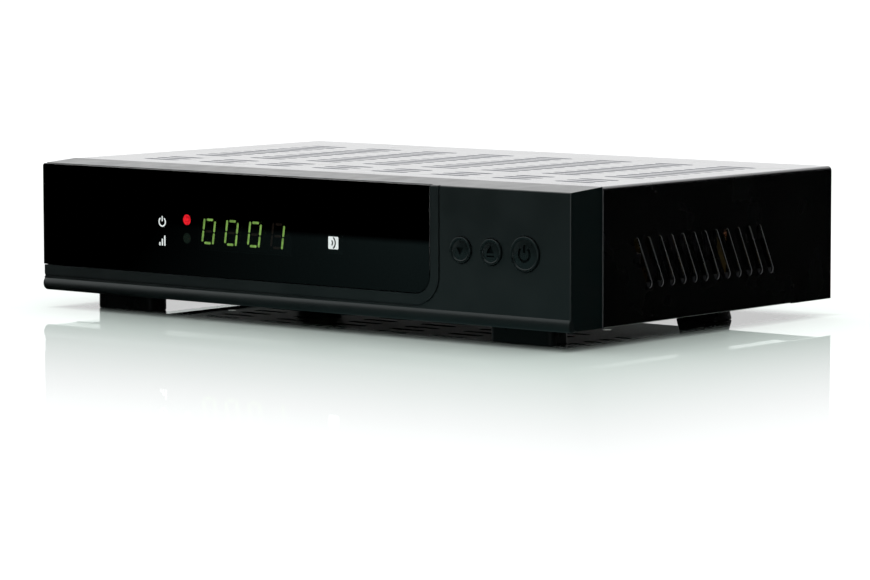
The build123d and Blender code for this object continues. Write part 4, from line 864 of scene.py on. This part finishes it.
def eye_sign():
    """The tile with rounded corners at the remote control's eye, and the waves on it."""
    eye = Vector((eye_sign_x, sign_y, eye_sign_z))
    tile = block(eye, (eye_sign_wide, sign_depth, eye_sign_high))
    edit(tile)
    bpy.ops.mesh.select_mode(type="EDGE")
    bpy.ops.object.mode_set(mode="OBJECT")
    points = tile.data.vertices
    for line in tile.data.edges:
        first, second = line.vertices
        line.select = abs((points[first].co - points[second].co).y) > sign_depth / 2
    bpy.ops.object.mode_set(mode="EDIT")
    bpy.ops.mesh.bevel(offset=eye_sign_corner, segments=eye_corner_steps)
    bpy.ops.object.mode_set(mode="OBJECT")
    settle(tile, "eye_tile", "printed_white", "housing")
    source = eye + Vector((eye_sign_wide * wave_start, -sign_depth * wave_lift, 0.0))
    waves = [ring_sign(source, radius, sign_stroke, wave_gap, 180.0) for radius in wave_radii]
    settle(joined(waves), "eye_waves", "printed_black", "housing")


status_signs()
eye_sign()


# Button caps

panel_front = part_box("front_bezel")[0][1]
# The caps' radii, in millimetres
cap_radius = {"button_down": 4.15, "button_up": 4.15, "button_power": 5.6}
cap_sides = 72
# From the cap's side inwards, in millimetres: how far in from the side, and how far forward of the face
rim_steps = ((0.0, -0.14), (0.05, -0.05), (0.14, 0.0), (0.62, -0.04), (0.78, -0.32), (0.92, -0.4),
             (1.72, -0.22))
# Towards the cap's middle: the share of its radius, and how far forward of the face in millimetres
dish_steps = ((0.3, -0.1), (0.08, -0.08))
# The engraving: the depth of its tools, how far behind the CAD cap's front its floor lies, and the size of a
# symbol as a share of the cap's radius
symbol_depth = 1.6 * mm
symbol_floor = 0.8 * mm
symbol_share = 0.42
# In shares of the symbol's size: how far up the arrow lies, the bar's width and height and how far down it
# lies, the power ring's radius and line, and its stem's length and how far up it lies. The ring's gap is in
# degrees.
arrow_up = 0.3
arrow_bar_wide, arrow_bar_high, arrow_bar_down = 1.8, 0.3, 0.75
power_ring, power_stroke, power_ring_gap = 1.1, 0.34, 80.0
power_stem, power_stem_up = 1.1, 0.75
cap_smooth_angle = 32.0


def prism(centre, radius, turn):
    """A three-sided prism across the front, to engrave an arrow with."""
    deselect()
    bpy.ops.mesh.primitive_cylinder_add(vertices=3, radius=radius, depth=symbol_depth, location=centre,
                                        rotation=(pi / 2, turn, 0.0))
    return bpy.context.object


def cut_symbol(cap, symbol, place, size):
    """Engraves the arrow or the power sign, of that size, with tools whose middle is at that place."""
    up = Vector((0.0, 0.0, size))
    if symbol == "down":
        cut_away(cap, prism(place, size, pi))
    if symbol == "up":
        cut_away(cap, prism(place + up * arrow_up, size, 0.0))
        cut_away(cap, block(place - up * arrow_bar_down,
                            (size * arrow_bar_wide, symbol_depth, size * arrow_bar_high)))
    if symbol == "power":
        ring = ring_sign(place, size * power_ring, size * power_stroke, power_ring_gap, 90.0)
        deeper = symbol_depth / sign_depth
        ring.scale = (1.0, deeper, 1.0)
        ring.location.y = place.y * (1.0 - deeper)
        cut_away(cap, ring)
        cut_away(cap, block(place + up * power_stem_up,
                            (size * power_stroke, symbol_depth, size * power_stem)))


def button_cap(node_name, symbol):
    """A round cap with a raised rim, a dished face and an engraved symbol."""
    low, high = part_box(node_name)
    centre = middle_of(node_name)
    centre.y = panel_front
    radius = cap_radius[node_name]
    face = (panel_front - low[1]) / mm
    steps = [(radius, face - (high[1] - low[1]) / mm)]
    steps += [(radius - inwards, face + out) for inwards, out in rim_steps]
    steps += [(radius * share, face + out) for share, out in dish_steps]
    cap = turned(node_name + "_cap", centre, steps, "button_plastic", node_name, cap_sides)
    place = Vector((centre.x, low[1] + symbol_floor - symbol_depth / 2, centre.z))
    cut_symbol(cap, symbol, place, radius * symbol_share * mm)
    select_only(cap)
    bpy.ops.object.shade_smooth_by_angle(angle=radians(cap_smooth_angle))
    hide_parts(node_name)


button_cap("button_down", "down")
button_cap("button_up", "up")
button_cap("button_power", "power")


# Rear feet and front lip

# Feet: their length, their top's size as a share of the foot's, their rounding, and the band counted as top
foot_length = 17.0 * mm
foot_taper = 0.8
foot_round = 0.7 * mm
foot_top_band = 0.1 * mm
# Lip: how far it stands out of the front, the height of its middle, half its depth and height, the rounding
# of its ends and how far in from the bezel's ends they lie
lip_proud = 0.75 * mm
lip_z = 8.45 * mm
lip_half_deep, lip_half_high = 2.3 * mm, 2.4 * mm
lip_round, lip_round_angle = 0.5 * mm, 50.0
lip_inset = 0.1 * mm
lip_sides = 48
lip_smooth_angle = 40.0


def rear_feet():
    """Two rubber feet that flare out towards the floor."""
    low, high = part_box("rear_feet")
    pieces = []
    for side in (-1.0, 1.0):
        edge = high[0] if side > 0 else low[0]
        middle = Vector((edge - side * foot_length / 2, (low[1] + high[1]) / 2, (low[2] + high[2]) / 2))
        foot = block(middle, (foot_length, high[1] - low[1], high[2] - low[2]))
        edit(foot)
        select_faces(foot, lambda place: place.z > high[2] - foot_top_band)
        bpy.ops.transform.resize(value=(foot_taper, foot_taper, 1.0), center_override=middle)
        bpy.ops.object.mode_set(mode="OBJECT")
        round_edges(foot, foot_round, round_steps)
        bpy.ops.object.shade_smooth_by_angle(angle=radians(smooth_angle))
        pieces.append(foot)
    feet = settle(joined(pieces), "flared_feet", "foot_rubber", "housing")
    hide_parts("rear_feet")


def front_lip():
    """The half-round lip along the bottom of the front: a long flattened cylinder with rounded ends."""
    low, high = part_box("front_bezel")
    middle = Vector((0.0, low[1] - lip_proud + lip_half_deep, lip_z))
    deselect()
    bpy.ops.mesh.primitive_cylinder_add(vertices=lip_sides, radius=1.0, depth=1.0, location=middle,
                                        rotation=(0.0, pi / 2, 0.0))
    lip = bpy.context.object
    lip.scale = (lip_half_high, lip_half_deep, high[0] - low[0] - lip_inset * 2)
    fix_place()
    round_edges(lip, lip_round, round_steps, lip_round_angle)
    bpy.ops.object.shade_smooth_by_angle(angle=radians(lip_smooth_angle))
    settle(lip, "front_lip", "lip_plastic", "housing")


rear_feet()
front_lip()


# Stage: floor, cards, world, lamp and camera

# Floor: its tint near the receiver and farther out, as shares of the gloss's reach, and the painted shadow
# below it
floor_white = (0.86, 0.98, 0.92)
floor_far = (0.88, 0.9, 0.895)
tint_reach = (0.12, 0.5)
gloss_reach_front = 0.31
gloss_reach_side = 0.255
shade_reach = 0.06
shade_depth = 0.03
floor_size = 14.0

# Cards, which paint dark reflections: how far the floor cards lie above the floor, and the painted glow of
# the
# front one: its tint, its strength, the share of that near the receiver, and the places along and across the
# floor between which it changes
card_lift = 0.0004
card_tint = (0.62, 1.0, 1.0, 1.0)
card_glow = 0.17
glow_near_share = 0.7
glow_near, glow_middle, glow_far = -0.1, -0.345, -0.367
glow_across = (-0.03, 0.11)

# Light: the world's strength as light and as what is seen, and the lamp's place, aim, size and power
world_light = 1.25
world_seen = 1.0
lamp_place = Vector((-0.1, 0.1, 1.3))
lamp_aim = Vector((0.0, 0.0, 0.03))
lamp_size = (1.2, 1.0)
lamp_power = 4.0

# Camera: fitted to the photograph's edges
image_width = 870
focal_pixels = 4111.0
camera_azimuth = radians(39.618)
camera_elevation = radians(5.501)
camera_roll = radians(-0.080)
camera_distance = 1.4003
aim_point = Vector((0.0, -0.0049, 0.0063))
aim_across = 0.00101
aim_up = 0.00116


def mixed_shaders(tree, mask, first, second):
    """The first shader where the mask is nought and the second where it is one, as the surface."""
    mix = tree.nodes.new("ShaderNodeMixShader")
    tree.links.new(mask, mix.inputs["Fac"])
    tree.links.new(first, mix.inputs[1])
    tree.links.new(second, mix.inputs[2])
    tree.links.new(mix.outputs["Shader"], tree.nodes["Material Output"].inputs["Surface"])


def studio_floor():
    """A wide white sheet, mirror-like round the receiver and matt farther out, with a painted shadow under
    it.
    """
    deselect()
    bpy.ops.mesh.primitive_plane_add(size=floor_size, location=(0.0, 0.0, 0.0))
    floor = bpy.context.object
    floor.name = "studio_floor"
    made, tree, shader = new_finish("studio_floor", floor_white, 0.0, IOR=1.5)
    tree.links.new(between(tree, speckle(tree, 60.0), 0.0, 0.008), shader.inputs["Roughness"])
    axes = along_axes(tree, object_place(tree))
    low, high = cad_box
    farthest = None
    for axis, edge, reach in (("Y", low[1], -gloss_reach_front), ("Y", high[1], gloss_reach_front),
                              ("X", high[0], gloss_reach_side), ("X", low[0], -gloss_reach_side)):
        away = calculate(tree, "DIVIDE", calculate(tree, "SUBTRACT", axes[axis], edge), reach)
        farthest = away if farthest is None else calculate(tree, "MAXIMUM", farthest, away)
    in_painted_shadow = ramp_over(tree, farthest, -shade_reach, 0.0, 1.0, 0.0)
    painted_shadow_colour = tuple(channel * shade_depth for channel in floor_white)
    tree.links.new(shades(tree, farthest, floor_white, floor_far, *tint_reach), shader.inputs["Base Color"])
    # Painted shadow: the floor's colour is darkened under the receiver.
    repaint(tree, shader, in_painted_shadow, painted_shadow_colour)
    matt = tree.nodes.new("ShaderNodeBsdfDiffuse")
    matt.inputs["Color"].default_value = (*floor_far, 1.0)
    far_off = ramp_over(tree, farthest, 0.0, 1.0, 0.0, 1.0)
    mixed_shaders(tree, far_off, shader.outputs["BSDF"], matt.outputs["BSDF"])
    floor.data.materials.append(made)


def front_glow(tree, position):
    """A faint painted glow on the front floor card, which the lens and the panel mirror as a painted
    reflection.

    It grows with the distance from the receiver as far as its middle, and then ends. Across, it grows from
    the line that runs from the receiver towards the camera.
    """
    axes = along_axes(tree, position)
    rise = ramp_over(tree, axes["Y"], glow_near, glow_middle, card_glow * glow_near_share, card_glow)
    fall = ramp_over(tree, axes["Y"], glow_middle, glow_far, 1.0, 0.0)
    across = calculate(tree, "ADD", axes["X"], calculate(tree, "MULTIPLY", axes["Y"], -tan(camera_azimuth)))
    grow = ramp_over(tree, across, *glow_across, 0.0, 1.0)
    return calculate(tree, "MULTIPLY", calculate(tree, "MULTIPLY", rise, fall), grow)


def dark_card(name, middle, size, turn, glows=False):
    """A black card seen only in reflections and through the lens, and only from its front."""
    # Painted reflection: the card darkens what the receiver mirrors, and is seen only in reflections and
    # through the lens.
    deselect()
    bpy.ops.mesh.primitive_plane_add(size=1.0, location=middle, rotation=turn)
    card = bpy.context.object
    card.name = name
    card.scale = (*size, 1.0)
    made = bpy.data.materials.new(name)
    made.use_nodes = True
    tree = made.node_tree
    tree.nodes.remove(tree.nodes["Principled BSDF"])
    geometry = tree.nodes.new("ShaderNodeNewGeometry")
    black = tree.nodes.new("ShaderNodeEmission")
    black.inputs["Color"].default_value = card_tint
    black.inputs["Strength"].default_value = 0.0
    if glows:
        tree.links.new(front_glow(tree, geometry.outputs["Position"]), black.inputs["Strength"])
    clear = tree.nodes.new("ShaderNodeBsdfTransparent")
    mixed_shaders(tree, geometry.outputs["Backfacing"], black.outputs["Emission"], clear.outputs["BSDF"])
    card.data.materials.append(made)
    card.visible_camera = False
    card.visible_diffuse = False
    card.visible_shadow = False


def white_world():
    """White all round for the eye and for reflections, a little brighter as light."""
    world = bpy.data.worlds.new("studio_world")
    bpy.context.scene.world = world
    world.use_nodes = True
    tree = world.node_tree
    background = tree.nodes["Background"]
    background.inputs["Color"].default_value = (1.0, 1.0, 1.0, 1.0)
    rays = tree.nodes.new("ShaderNodeLightPath").outputs
    mirrored = calculate(tree, "MAXIMUM", rays["Is Camera Ray"], rays["Is Glossy Ray"])
    seen = calculate(tree, "MAXIMUM", mirrored, rays["Is Transmission Ray"])
    tree.links.new(ramp_over(tree, seen, 0.0, 1.0, world_light, world_seen), background.inputs["Strength"])


def overhead_lamp():
    """A soft box that looks down at the receiver and isn't seen in reflections."""
    lamp = bpy.data.lights.new("overhead_lamp", "AREA")
    lamp.shape = "RECTANGLE"
    lamp.size, lamp.size_y = lamp_size
    lamp.energy = lamp_power
    holder = bpy.data.objects.new("overhead_lamp", lamp)
    bpy.context.scene.collection.objects.link(holder)
    turn = (lamp_aim - lamp_place).to_track_quat("-Z", "Y").to_matrix().to_4x4()
    holder.matrix_world = Matrix.Translation(lamp_place) @ turn
    holder.visible_glossy = False


def photo_camera():
    """The camera at the photograph's angle and distance."""
    lens = bpy.data.cameras.new("photo_camera")
    lens.sensor_width = 36.0
    lens.lens = lens.sensor_width * focal_pixels / image_width
    lens.clip_start = 0.05
    holder = bpy.data.objects.new("photo_camera", lens)
    bpy.context.scene.collection.objects.link(holder)
    turn = (Matrix.Rotation(camera_azimuth, 3, "Z") @ Matrix.Rotation(pi / 2 - camera_elevation, 3, "X")
            @ Matrix.Rotation(camera_roll, 3, "Z"))
    right, up, back = turn.col
    place = aim_point + back * camera_distance + right * aim_across + up * aim_up
    holder.matrix_world = Matrix.Translation(place) @ turn.to_4x4()
    bpy.context.scene.camera = holder


studio_floor()
dark_card("side_floor_card", (0.791, 0.6, card_lift), (1.358, 1.8), (0.0, 0.0, 0.0))
dark_card("side_card", (0.55, 0.55, 0.8), (1.6, 2.1), (0.0, -pi / 2, 0.0))
dark_card("front_floor_card", (-0.582, -0.533, card_lift), (1.436, 0.934), (0.0, 0.0, 0.0), glows=True)
dark_card("front_card", (-0.5, -0.9, 0.275), (1.8, 0.55), (-pi / 2, 0.0, 0.0))
white_world()
overhead_lamp()
photo_camera()
bpy.context.scene.view_settings.view_transform = "Standard"
